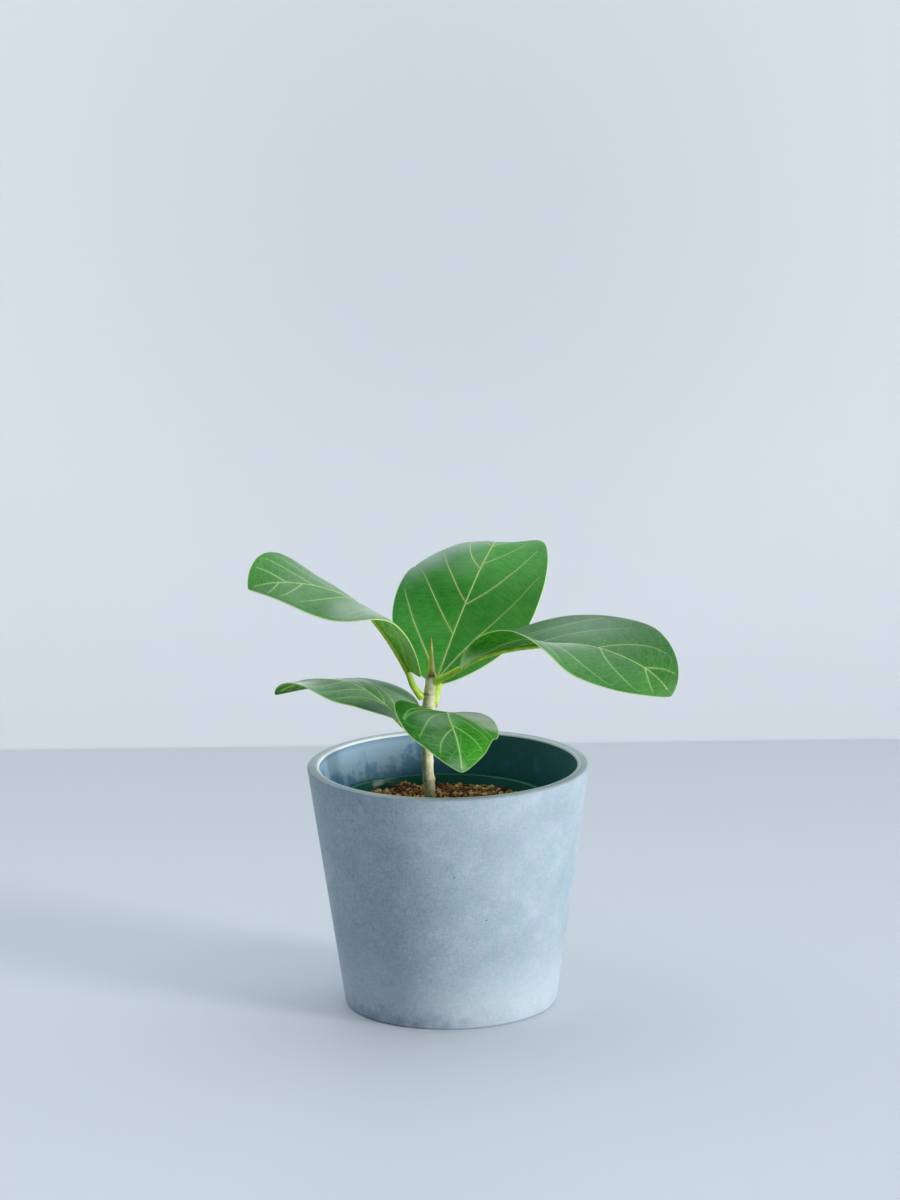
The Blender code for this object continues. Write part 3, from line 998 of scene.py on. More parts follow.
@dataclass(frozen=True)
class Ring:
    """One level of a round piece: its radius, height and place across in mm."""

    radius: float
    height: float
    x: float = 0.0

    @property
    def centre(self) -> Vector:
        """The ring's centre in metres."""
        return Vector((self.x, 0.0, self.height)) * MM


def raise_rings(name: str, rings: list[Ring], sides: int) -> Piece:
    """Extrude a round solid ring by ring from a filled disc.

    Args:
        name: name of the piece
        rings: levels from the first disc to the last
        sides: corners of each ring

    Returns:
        A closed solid with its faces pointing out.
    """
    start_clean()
    bpy.ops.mesh.primitive_circle_add(vertices=sides, radius=rings[0].radius * MM,
                                      fill_type="NGON", location=rings[0].centre)
    piece = settle(bpy.context.object, name)
    open_mesh()
    for before, after in zip(rings, rings[1:]):
        step = after.centre - before.centre
        bpy.ops.mesh.extrude_region_move(TRANSFORM_OT_translate={"value": step})
        grow = after.radius / before.radius
        bpy.ops.transform.resize(value=(grow, grow, 1.0), center_override=after.centre)
    close_solid()
    return piece


def around(piece: Piece, line: np.ndarray) -> tuple[np.ndarray, np.ndarray]:
    """Read a round upright piece about its centre line.

    Args:
        piece: the raised solid
        line: points of its centre line in mm

    Returns:
        Its points in mm, and each one's place from the centre line, seen from above.
    """
    rows = points_of(piece.data) / MM
    centre = np.interp(rows[:, 2], line[:, 2], line[:, 0])
    return rows, np.column_stack([rows[:, 0] - centre, rows[:, 1]])


def push_out(piece: Piece, line: np.ndarray, push: np.ndarray) -> None:
    """Push a round upright piece's points away from its centre line.

    Args:
        piece: the raised solid
        line: points of its centre line in mm
        push: how far each of its points goes, in mm
    """
    rows, away = around(piece, line)
    rows[:, :2] += unit(away) * push[:, None]
    move_points(piece.data, rows * MM)


def rounded(radius: float, height: float, corner: float, start: float, end: float,
            steps: int = 6) -> list[Ring]:
    """Return the rings of a rounded edge.

    Args:
        radius: radius at which the corner's own centre lies
        height: height at which the corner's own centre lies
        corner: radius of the corner
        start: first angle, 0 outwards and 90 up
        end: last angle
        steps: flats in the corner

    Returns:
        Rings from the first angle to the last.
    """
    angles = np.radians(np.linspace(start, end, steps + 1))
    return [Ring(radius + corner * math.cos(a), height + corner * math.sin(a)) for a in angles]


def sweep(name: str, runs: list[Run], fineness: int) -> Piece:
    """Sweep a round section along paths and return them as one mesh.

    Args:
        name: name of the piece
        runs: pairs of path rows in metres and radii in mm
        fineness: Blender's bevel resolution, for 4 sides and 2 more for each step

    Returns:
        The mesh object, at the origin.
    """
    data = bpy.data.curves.new(name, "CURVE")
    data.dimensions = "3D"
    data.bevel_depth = MM
    data.bevel_resolution = fineness
    data.use_fill_caps = True
    for path, radii in runs:
        line = data.splines.new("POLY")
        line.points.add(len(path) - 1)
        line.points.foreach_set("co", np.column_stack([path, np.ones(len(path))]).ravel())
        line.points.foreach_set("radius", np.asarray(radii, dtype=np.float32))
    piece = bpy.data.objects.new(name, data)
    bpy.context.scene.collection.objects.link(piece)
    select(piece)
    bpy.ops.object.convert(target="MESH")
    return bpy.context.object


def draw_in(piece: Piece, node: str) -> None:
    """Ease a leaf back inside its solid's box, on the box's upper sides.

    The blade and its raised veins move by up to a millimetre. The stalk's inner end moves most,
    by up to 2.6 mm where it meets the stem.

    Args:
        piece: the piece to ease in
        node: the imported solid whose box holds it
    """
    low, high = (np.array(corner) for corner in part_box(node))
    points = points_of(piece.data)
    top = points.max(axis=0)
    share = np.clip((points - low) / (top - low), 0, 1)
    move_points(piece.data, points - np.maximum(top - high + UNDRAWN, 0) * share ** 4)


def dress(piece: Piece, slot: str, replaced: str | None, *finishes: Finish) -> None:
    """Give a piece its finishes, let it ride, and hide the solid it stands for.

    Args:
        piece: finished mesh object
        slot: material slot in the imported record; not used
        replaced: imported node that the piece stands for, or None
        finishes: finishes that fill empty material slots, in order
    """
    for finish in finishes:
        piece.data.materials.append(finish.material())
    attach(piece, BODY)
    if replaced is not None:
        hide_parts(replaced)
    log.info("%s: %d faces", piece.name, len(piece.data.polygons))


def faces_into_slot(piece: Piece, slot: int, chosen: np.ndarray) -> None:
    """Put some of a piece's faces into one of its material slots.

    Args:
        piece: dressed mesh object
        slot: number of the slot
        chosen: True for each face that goes there
    """
    current = np.zeros(len(piece.data.polygons), dtype=np.int32)
    piece.data.polygons.foreach_get("material_index", current)
    current[chosen] = slot
    piece.data.polygons.foreach_set("material_index", current)


# ---------------------------------------------------------------- curves through points


def smooth(stations: tuple, t: np.ndarray) -> np.ndarray:
    """Read a Catmull-Rom curve through evenly spaced stations.

    Args:
        stations: numbers or points
        t: places from 0 to 1

    Returns:
        One number or one point for each place.
    """
    points = np.array(stations, dtype=float)
    flat = points.ndim == 1
    if flat:
        points = points[:, None]
    first = 3 * points[0] - 3 * points[1] + points[2]
    last = 3 * points[-1] - 3 * points[-2] + points[-3]
    ends = np.vstack([first, points, last])
    place = np.clip(t, 0, 1) * (len(points) - 1)
    k = np.minimum(place.astype(int), len(points) - 2)
    f = (place - k)[:, None]
    p0, p1, p2, p3 = ends[k], ends[k + 1], ends[k + 2], ends[k + 3]
    out = 0.5 * (2 * p1 + (p2 - p0) * f + (2 * p0 - 5 * p1 + 4 * p2 - p3) * f ** 2
                 + (3 * p1 - p0 - 3 * p2 + p3) * f ** 3)
    return out[:, 0] if flat else out


def unit(rows: np.ndarray) -> np.ndarray:
    """Scale each row to length one."""
    return rows / np.linalg.norm(rows, axis=-1, keepdims=True)


def carried_frames(line: np.ndarray, face: tuple) -> tuple[np.ndarray, np.ndarray, np.ndarray]:
    """Carry a sideways and an upward direction along a line without twisting.

    Args:
        line: points of the line
        face: rough upward direction at its start

    Returns:
        Tangents, sideways and upward directions.
    """
    tangent = unit(np.gradient(line, axis=0))
    side = np.zeros_like(line)
    side[0] = unit(np.cross(tangent[0], np.array(face, dtype=float)))
    for i in range(1, len(line)):
        side[i] = unit(side[i - 1] - tangent[i] * (side[i - 1] @ tangent[i]))
    return tangent, side, np.cross(side, tangent)


# ---------------------------------------------------------------- pots and potting mix


@dataclass
class OuterPot:
    """Tapered outer pot with a flat rim and soft edges."""

    top_radius: float = 75.0
    base_radius: float = 56.7
    height: float = 130.3
    wall: float = 6.3
    floor: float = 7.0
    edge: float = 1.2
    crease: float = 40.0
    sides: int = 256

    @property
    def slope(self) -> float:
        """Growth of the radius for each millimetre of height."""
        return (self.top_radius - self.base_radius) / self.height

    def rings(self) -> list[Ring]:
        """Work out the pot's section.

        Returns:
            The levels from the foot, over the rim, down to the inner floor.
        """
        inner_top = self.top_radius - self.wall
        inner_base = self.base_radius + self.slope * self.floor - self.wall
        soft = self.edge
        rings = [Ring(self.base_radius - 1.5 * soft, 0.0),
                 Ring(self.base_radius - 0.6 * soft, 0.35 * soft),
                 Ring(self.base_radius + self.slope * soft, 1.5 * soft)]
        rings += rounded(self.top_radius - soft, self.height - soft, soft, 0, 90)
        rings += rounded(inner_top + soft, self.height - soft, soft, 90, 180)
        rings += rounded(inner_base - 2 * soft, self.floor + 2 * soft, 2 * soft, 0, -90)
        return rings

    def build(self) -> None:
        """Raise the pot and dress its outside, rim and inside."""
        pot = raise_rings("outer_pot_shell", self.rings(), self.sides)
        normals = np.array([face.normal for face in pot.data.polygons])
        centres = np.array([face.center for face in pot.data.polygons])
        inward = np.einsum("ij,ij->i", normals[:, :2], centres[:, :2]) < -1e-4
        upward, height = normals[:, 2], centres[:, 2] / MM
        on_floor = (height < self.floor + 3) & (upward > 0.2)
        inside = (height > self.floor - 1) & (inward | on_floor)
        at_top = height > self.height - self.edge
        rim = at_top & ((upward > 0.9) | (inward & (upward > 0.2)))
        smooth_by_angle(pot, self.crease)
        dress(pot, "outer_pot", "outer_pot", StoneFilledPlastic(), TrimmedRim(), LimeStainedWall())
        faces_into_slot(pot, 2, inside)
        faces_into_slot(pot, 1, rim)


@dataclass
class GrowersPot:
    """Thin pot that the plant was raised in, with a lip round its rim."""

    centre_x: float = -4.0
    lip_radius: float = 60.5
    top_radius: float = 59.0
    base_radius: float = 43.0
    rim_height: float = 109.3
    lip_depth: float = 3.5
    wall: float = 1.2
    base_height: float = 7.3
    step_depth: float = 9.0
    bead: float = 0.6
    under_lip: float = 0.4
    crease: float = 40.0
    sides: int = 192

    def outer_radius(self, height: float) -> float:
        """Outside radius of the plain wall at a height."""
        share = (height - self.base_height) / (self.rim_height - self.base_height)
        return self.base_radius + (self.top_radius - self.base_radius) * share

    def inner_radius(self, height: float) -> float:
        """Inside radius at a height."""
        return self.outer_radius(height) - self.wall

    def rings(self) -> list[Ring]:
        """Work out the thin pot's section.

        Returns:
            The levels from the foot, over the lip, down to the inner floor.
        """
        rim, lip, foot = self.rim_height, self.rim_height - self.lip_depth, self.base_height
        bead, under = self.bead, self.under_lip
        rings = [Ring(self.base_radius - self.wall, foot),
                 Ring(self.base_radius, foot + self.wall)]
        step = lip - self.step_depth
        rings += [Ring(self.outer_radius(step), step), Ring(self.outer_radius(lip), lip)]
        rings += rounded(self.lip_radius - under, lip + under, under, -80, 0, 3)
        rings += rounded(self.lip_radius - bead, rim - bead, bead, 0, 90, 5)
        inside = self.inner_radius(rim)
        rings += rounded(inside + bead, rim - bead, bead, 90, 180, 5)
        rings += [Ring(self.inner_radius(lip), lip), Ring(self.inner_radius(step), step),
                  Ring(self.inner_radius(foot + self.wall), foot + self.wall)]
        return [Ring(r.radius, r.height, self.centre_x) for r in rings]

    def build(self) -> None:
        """Raise the thin pot and dress it."""
        pot = raise_rings("growers_pot", self.rings(), self.sides)
        smooth_by_angle(pot, self.crease)
        dress(pot, "nursery_pot", "nursery_pot", InjectedPolypropylene())


@dataclass(frozen=True)
class GrainForm:
    """One kind of grain in the potting mix.

    name: name of the piece that holds all grains of the kind
    count: how many lie on the bed
    sizes: least and greatest size in mm
    lift: how far a grain's centre stands over the bed, as a share of its height
    shares: its length, breadth and height as shares of its size
    tones: its darkest and its palest tone
    """

    name: str
    count: int
    sizes: tuple
    lift: float
    shares: tuple
    tones: tuple


class Grain(Enum):
    """Kinds of grain in the potting mix, in the order in which they are laid."""

    CLAY = GrainForm("clay_grains", 1500, (0.9, 3.1), 0.3, (1.0, 0.86, 0.78), (0.3, 1.0))
    CRUMB = GrainForm("mix_crumbs", 2400, (0.7, 1.6), 0.4, (1.0, 0.8, 0.7), (0.05, 0.65))
    BARK = GrainForm("bark_chips", 150, (2.0, 4.6), 0.5, (1.6, 0.75, 0.45), (0.0, 0.45))


@dataclass
class PottingMixBed:
    """Surface of the potting mix: a lumpy bed with loose grains lying in it.

    The block under its surface has a depth and narrows to its foot. Small grains are commoner
    than large ones and dark tones commoner than pale ones, by the powers size_bias and tone_bias.
    """

    pot: GrowersPot
    edge_height: float = 104.3
    clearance: float = 0.3
    mound: float = 1.2
    lump: float = 0.5
    clod_at: tuple = (-19.0, 42.0)
    clod_rise: float = 4.5
    clod_spread: float = 5.0
    sink: float = 0.9
    crumb_size: float = 2.6
    crumb_rise: float = 0.8
    block_depth: float = 8.0
    block_foot: float = 0.97
    size_bias: float = 2.2
    tone_bias: float = 1.15
    tilt: tuple = (0.5, 0.35)
    bedded: float = 0.4
    bed_crease: float = 60.0
    grain_crease: float = 32.0
    cells: int = 110
    seed: int = 41
    shapes: int = 7

    def level(self, x: np.ndarray, y: np.ndarray, share: np.ndarray) -> np.ndarray:
        """Return the mix's height in mm.

        Args:
            x: places across the pot from its centre, in mm
            y: places along the pot from its centre, in mm
            share: distance from the centre as a share of the pot's inside radius

        Returns:
            One height for each place.
        """
        lumps = np.sin(0.21 * x + 1.3) * np.sin(0.26 * y + 0.4) + 0.6 * np.sin(0.43 * x - 0.31 * y)
        away = (x - self.clod_at[0]) ** 2 + (y - self.clod_at[1]) ** 2
        clod = self.clod_rise * np.exp(-away / self.clod_spread ** 2)
        return (self.edge_height + self.mound * (1 - share ** 2)
                + self.lump * lumps * (1 - share ** 4) + clod)

    def bed(self) -> Piece:
        """Shape a fine grid into a round, crumbly surface on a closed block.

        Returns:
            The bed, with each vertex's tone stored on it.
        """
        start_clean()
        bpy.ops.mesh.primitive_grid_add(x_subdivisions=self.cells, y_subdivisions=self.cells,
                                        size=2)
        bed = settle(bpy.context.object, "potting_mix_bed")
        u, v = points_of(bed.data)[:, 0], points_of(bed.data)[:, 1]
        reach = self.pot.inner_radius(self.edge_height) - self.clearance
        x, y = u * np.sqrt(1 - v ** 2 / 2) * reach, v * np.sqrt(1 - u ** 2 / 2) * reach
        share = np.hypot(x, y) / reach
        crumble = np.array([noise.fractal(Vector((a, b, 0)) / self.crumb_size, 0.8, 2.1, 4)
                            for a, b in zip(x, y)])
        z = self.level(x, y, np.minimum(share, 1)) - self.sink
        z += self.crumb_rise * crumble * (1 - share ** 8)
        move_points(bed.data, np.column_stack([x + self.pot.centre_x, y, z]) * MM)
        # Painted shade: the tone follows the crumb noise that lifts the bed, so its hollows are
        # darker.
        set_attribute(bed.data, "tone", np.clip(0.12 + 0.3 * crumble, 0, 1))
        open_mesh()
        down, foot = (0, 0, -self.block_depth * MM), self.block_foot
        bpy.ops.mesh.extrude_region_move(TRANSFORM_OT_translate={"value": down})
        centre = Vector((self.pot.centre_x, 0, self.edge_height - self.block_depth)) * MM
        bpy.ops.transform.resize(value=(foot, foot, 0.0), center_override=centre)
        close_solid()
        smooth_by_angle(bed, self.bed_crease)
        return bed

    def lumps(self) -> list[tuple[np.ndarray, list[tuple[int, ...]]]]:
        """Model a few rough grains, each from a small sphere that is knocked out of round.

        Returns:
            The points and faces of each, about 1 across.
        """
        models = []
        for number in range(self.shapes):
            start_clean()
            bpy.ops.mesh.primitive_uv_sphere_add(segments=7, ring_count=5, radius=0.5)
            grain = bpy.context.object
            open_mesh()
            bpy.ops.transform.vertex_random(offset=0.2, uniform=0.3, seed=self.seed + number)
            bpy.ops.object.mode_set(mode="OBJECT")
            faces = [tuple(face.vertices) for face in grain.data.polygons]
            models.append((points_of(grain.data), faces))
            bpy.data.objects.remove(grain, do_unlink=True)
        return models

    def lay(self, form: GrainForm, models: list,
            chance: np.random.Generator) -> tuple[np.ndarray, list, float]:
        """Lay one grain on the bed.

        Args:
            form: kind of grain
            models: points and faces of the rough grains to pick from
            chance: the kind's random numbers

        Returns:
            Its points in mm, its faces and its tone.
        """
        least, most = form.sizes
        size = least + (most - least) * chance.random() ** self.size_bias
        inside = self.pot.inner_radius(self.edge_height) - self.clearance
        reach = inside - 0.55 * size * form.shares[0]
        radius, angle = reach * math.sqrt(chance.random()), chance.random() * 2 * math.pi
        x, y = radius * math.cos(angle), radius * math.sin(angle)
        z = self.level(np.array(x), np.array(y), np.array(radius / reach))
        points, faces = models[chance.integers(len(models))]
        turned = Matrix.Rotation(chance.random() * 2 * math.pi, 3, "Z")
        for lean, letter in zip(self.tilt, "XY"):
            turned = turned @ Matrix.Rotation(chance.normal() * lean, 3, letter)
        shaped = (points * np.array(form.shares) * size) @ np.array(turned).T
        height = float(z) - self.bedded + form.lift * form.shares[2] * size
        dark, pale = form.tones
        tone = dark + (pale - dark) * chance.random() ** self.tone_bias
        return shaped + np.array([x + self.pot.centre_x, y, height]), faces, tone

    def scatter(self, form: GrainForm) -> Piece:
        """Lay all grains of one kind over the bed, as one mesh.

        Args:
            form: kind of grain

        Returns:
            The mesh object, with each grain's tone stored on it.
        """
        chance = np.random.default_rng(self.seed + form.count)
        models = self.lumps()
        all_points, all_faces, all_tones, used = [], [], [], 0
        for _ in range(form.count):
            points, faces, tone = self.lay(form, models, chance)
            all_points.append(points)
            all_faces += [tuple(i + used for i in face) for face in faces]
            all_tones += [tone] * len(points)
            used += len(points)
        mesh = bpy.data.meshes.new(form.name)
        mesh.from_pydata(np.vstack(all_points) * MM, [], all_faces)
        set_attribute(mesh, "tone", np.array(all_tones))
        grains = bpy.data.objects.new(form.name, mesh)
        bpy.context.scene.collection.objects.link(grains)
        smooth_by_angle(grains, self.grain_crease)
        return grains

    def build(self) -> None:
        """Make the bed and its grains, and dress them."""
        dress(self.bed(), "substrate", "soil", PottingMix())
        for kind in Grain:
            dress(self.scatter(kind.value), "substrate", None, PottingMix())


# ---------------------------------------------------------------- stem and bud


@dataclass(frozen=True)
class Scar:
    """A healed leaf scar: a low bump on the stem, with sizes in mm and its bearing in degrees."""

    height: float
    bearing: float
    rise: float = 0.45
    spread: float = 1.3


@dataclass
class Stem:
    """Woody stem with swollen nodes and healed scars."""

    spine: tuple = ((-10, 0, 66), (-10, 0, 88), (-10, 0, 110), (-11, 0, 132), (-10.4, 0, 156),
                    (-8.5, 0, 178))
    radii: tuple = (0.8, 2.4, 3.0, 3.0, 3.3, 2.55)
    nodes: tuple = (122, 132, 150, 162, 168, 176)
    swell: float = 0.2
    swell_spread: float = 1.3
    bark_rise: float = 0.16
    scar_arm: float = 2.6
    # Bearing of the key light, towards which the bark is painted paler.
    key_light_bearing: float = -25.0
    scars: tuple = (Scar(121.9, 5), Scar(132.4, 185, 0.35), Scar(150.0, 250, 0.3),
                    Scar(162.4, 10, 0.35), Scar(167.5, 190, 0.35), Scar(175.0, 345, 0.3))
    foot: float = 96.0
    crease: float = 50.0
    sides: int = 48
    step: float = 0.6

    def build(self) -> None:
        """Raise the stem ring by ring and push its scars out."""
        top = self.spine[-1][2]
        t = np.linspace(0, 1, 400)
        line, radii = smooth(self.spine, t), smooth(self.radii, t)
        heights = np.linspace(self.foot, top, int((top - self.foot) / self.step))
        rings = []
        for height in heights:
            radius = np.interp(height, line[:, 2], radii)
            for node_height in self.nodes:
                off = (height - node_height) / self.swell_spread
                radius += self.swell * math.exp(-off ** 2)
            x = np.interp(height, line[:, 2], line[:, 0])
            rings.append(Ring(radius, height, x))
        stem = raise_rings("woody_stem", rings, self.sides)
        rows, out = around(stem, line)
        bearing = np.arctan2(out[:, 1], out[:, 0])
        rough = [noise.fractal(Vector((a, b, 0.25 * c)) * 0.9, 0.7, 2.0, 4) for a, b, c in rows]
        push = self.bark_rise * np.array(rough)
        for scar in self.scars:
            turn = np.angle(np.exp(1j * (bearing - math.radians(scar.bearing))))
            away = np.hypot(self.scar_arm * turn, rows[:, 2] - scar.height)
            push += scar.rise * np.exp(-(away / scar.spread) ** 2)
        push_out(stem, line, push)
        # Store how squarely each point faces the key light, for the bark's painted light.
        from_key_light = bearing - math.radians(self.key_light_bearing)
        set_attribute(stem.data, "key_lit_side", 0.5 + 0.5 * np.cos(from_key_light))
        smooth_by_angle(stem, self.crease)
        dress(stem, "bark", "stem", FigBark())


@dataclass
class TerminalBud:
    """Pointed bud at the stem's top, its sheath rolled round with one open seam."""

    spine: tuple = ((-8.5, 0, 178.3), (-8.2, 0, 185), (-8.2, 0, 192), (-8.2, 0, 199))
    radii: tuple = (2.2, 1.55, 0.95, 0.3)
    least_radius: float = 0.12
    lap: float = 0.16
    seam_bearing: float = -65.0
    seam_twist: float = 1.4
    crease: float = 50.0
    sides: int = 40
    levels: int = 60

    def build(self) -> None:
        """Raise the bud and lift the sheath's lapped edge."""
        t = np.linspace(0, 1, self.levels)
        line, radii = smooth(self.spine, t), smooth(self.radii, t)
        rings = [Ring(max(radius, self.least_radius), point[2], point[0])
                 for point, radius in zip(line, radii)]
        bud = raise_rings("terminal_bud_sheath", rings, self.sides)
        rows, out = around(bud, line)
        share = (rows[:, 2] - line[0, 2]) / (line[-1, 2] - line[0, 2])
        bearing = np.arctan2(out[:, 1], out[:, 0])
        seam = bearing - math.radians(self.seam_bearing) - self.seam_twist * share
        lapped = np.mod(seam, 2 * math.pi) / (2 * math.pi)
        push_out(bud, line, self.lap * (lapped - 0.5) * np.clip(1.4 - 1.4 * share, 0, 1))
        smooth_by_angle(bud, self.crease)
        dress(bud, "bud_sheath", "terminal_bud", BudScale())


# ---------------------------------------------------------------- leaves


class Half(Enum):
    """Halves of a blade, seen from above looking from its base to its tip."""

    LEFT = -1
    RIGHT = 1


@dataclass(frozen=True)
class Vein:
    """A side vein over the flat blade.

    start: where it leaves the midrib, as a share of the blade's length
    leave: its angle from the midrib there, in degrees
    arrive: its angle where it ends
    reach: where it ends, as a share of the way to the edge
    weight: its thickness beside the leaf's usual vein
    """

    start: float
    leave: float
    arrive: float
    reach: float = 0.86
    weight: float = 1.0


USUAL_VEINS = (Vein(0.01, 34, 28, 0.9), Vein(0.17, 48, 34, 0.87), Vein(0.34, 52, 28, 0.85),
               Vein(0.50, 54, 22, 0.82), Vein(0.66, 54, 20, 0.78), Vein(0.80, 50, 22, 0.74))


@dataclass(frozen=True)
class LeafForm:
    """One leaf's form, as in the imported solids, with its side veins."""

    name: str
    node: str
    petiole: tuple
    spine: tuple
    width: float
    roll: tuple
    lift_left: tuple
    lift_right: tuple
    curl_left: tuple
    curl_right: tuple
    face: tuple = (0, 0, 1)
    taper: tuple = (0.5, 0.75)
    lobe: tuple = (3.0, 3.0)
    midrib: float = 0.5
    vein: float = 0.2
    skin: LeafFace = LeafFace()
    back: LeafBack = LeafBack()
    veins_left: tuple = USUAL_VEINS
    veins_right: tuple = USUAL_VEINS


LEAVES = (
    LeafForm("upper_left_leaf", "leaf_upper_left",
             petiole=((-12.3, -0.5, 167), (-16.9, -3.5, 173.9), (-18.9, -5, 179.6)),
             spine=((-19, -5, 182.5), (-41, -10, 216), (-62, -17, 230), (-85, -26, 236),
                    (-103, -36, 235)),
             width=84, roll=(0, -3, 26),
             lift_left=(19, 12, -9, 15), lift_right=(17, 2, 3, 32),
             curl_left=(-39, -6, 0), curl_right=(7, -5, -5), lobe=(8, 3),
             # Face with patches of painted sheen near its fold.
             skin=LeafFace("upper_left_sheen_patched_face", painted_sheen_patches=((56, -28, 24, 0.35),
                                                         (84, -6, 22, 0.08))),
             # Underside painted paler and greyer than the others, as painted sheen and light
             # through the fold.
             back=LeafBack("pale_leaf_back", "#579a1e", "#84b84a", "#c4dc94",
                           foot_share=0.0),
             veins_left=(Vein(0.01, 34, 28, 0.9), Vein(0.22, 48, 28, 0.87),
                         Vein(0.46, 45, 5, 0.66), Vein(0.72, 50, 15, 0.66),
                         Vein(0.84, 50, 20, 0.6))),
    LeafForm("back_leaf", "leaf_back",
             petiole=((-7.3, 0.5, 162.4), (-6, 9, 165.2), (-4.6, 20, 168.2)),
             spine=((-6, 29, 167), (4, 44, 192), (17, 58, 220), (26, 79, 232), (27, 103, 225)),
             width=84, roll=(15, 15, 15),
             lift_left=(12, -1, -7, 0), lift_right=(19, 8, 4, 8),
             curl_left=(15, -20, -40), curl_right=(-5, 15, 30),
             face=(0, -1, 0.3), taper=(0.78, 0.89), midrib=0.85, vein=0.5,
             # Greens painted brighter, paler towards one half, with patches of painted sheen:
             # painted light.
             skin=LeafFace("back_light_painted_face", "#23891b", "#52aa3c", bloom=0.15,
                           lit_half_lean=1.2,
                           painted_sheen_patches=((66, -46, 26, 0.4), (75, -10, 20, 0.12), (82, -38, 30, 0.6),
                                    (96, -24, 30, 0.6), (106, -6, 22, 0.45))),
             veins_left=(Vein(0.02, 37, 44, 0.9), Vein(0.25, 49, 46, 0.84),
                         Vein(0.41, 54, 22, 0.78), Vein(0.59, 60, -8, 0.54, 0.85),
                         Vein(0.76, 50, 24, 0.66, 0.4)),
             veins_right=(Vein(0.02, 26, 30, 0.9), Vein(0.40, 46, 22, 0.82),
                          Vein(0.62, 50, 32, 0.7, 0.4), Vein(0.76, 46, 30, 0.7, 0.35))),
    LeafForm("right_leaf", "leaf_right",
             petiole=((-6.3, -0.5, 175.6), (-0.3, -6, 179.6), (4.2, -11, 183.3)),
             spine=((7.5, -15, 187.5), (32, -23, 198.5), (70, -36, 203), (100, -50, 195),
                    (116, -54, 179)),
             width=88, roll=(-5, 0, -28),
             lift_left=(-2, 8, 8, 22), lift_right=(-11, 15, -1, 4),
             curl_left=(0, 0, 0), curl_right=(50, 2, -20), lobe=(4, -4),
             # One patch of painted sheen on this face.
             skin=LeafFace("right_sheen_patched_face", painted_sheen_patches=((60, -27, 28, 0.14),)),
             veins_left=(Vein(0.01, 34, 26, 0.9), Vein(0.16, 48, 30, 0.86),
                         Vein(0.33, 42, 26, 0.76), Vein(0.62, 58, -5, 0.7),
                         Vein(0.84, 46, 20, 0.7)),
             veins_right=(Vein(0.01, 32, 24, 0.9), Vein(0.24, 46, -2, 0.86),
                          Vein(0.63, 58, 2, 0.76), Vein(0.84, 52, 20, 0.7))),
    LeafForm("lower_left_leaf", "leaf_lower_left",
             petiole=((-11.2, -0.8, 150), (-16.5, -6.5, 151), (-21, -12, 154)),
             spine=((-23, -14, 157), (-42, -11, 173), (-58, -10, 179), (-77, -10, 179),
                    (-91, -11, 172)),
             width=58, roll=(4, -3, -29),
             lift_left=(22, 2, -8, 16), lift_right=(31, 5, -11, -10),
             curl_left=(0, -5, -5), curl_right=(-25, -20, -5), lobe=(3, 9),
             midrib=0.6,
             # Strong wax bloom, with one patch of painted sheen.
             skin=LeafFace("bloomed_leaf_face", "#2f7a33", "#469049", bloom=0.9,
                           painted_sheen_patches=((6, 18, 26, 0.35),))),
    LeafForm("front_leaf", "leaf_front",
             petiole=((-10, -1, 149.5), (-7, -9.5, 155), (-3, -18, 161)),
             spine=((0, -24, 164), (0, -44, 169), (1, -63, 170), (5, -79, 162), (7, -90, 149)),
             width=57, roll=(3, 8, 16),
             lift_left=(7, -12, -17, -27), lift_right=(6, -1, -11, -7),
             curl_left=(-5, -5, 0), curl_right=(20, 10, -10), vein=0.15,
             # Greens painted darker as painted shade, darker still towards one half, with painted
             # sheen.
             skin=LeafFace("shaded_leaf_face", "#12600a", "#327f1a", bloom=0.0,
                           lit_half_lean=-1.6, ior=1.2,
                           painted_sheen_patches=((10, -15, 18, 0.75), (20, -22, 12, 0.5), (37, 6, 16, 0.2),
                                    (55, 8, 14, 0.08), (73, 2, 9, 0.17))),
             veins_left=(Vein(0.01, 35, 30, 0.9), Vein(0.30, 50, 32, 0.86),
                         Vein(0.60, 72, 32, 0.84), Vein(0.82, 52, 28, 0.6, 0.6)),
             veins_right=(Vein(0.01, 50, 18, 0.88), Vein(0.08, 32, 38, 0.84),
                          Vein(0.31, 34, 33, 0.82), Vein(0.64, 60, 4, 0.66),
                          Vein(0.82, 50, 26, 0.6, 0.6))),
)


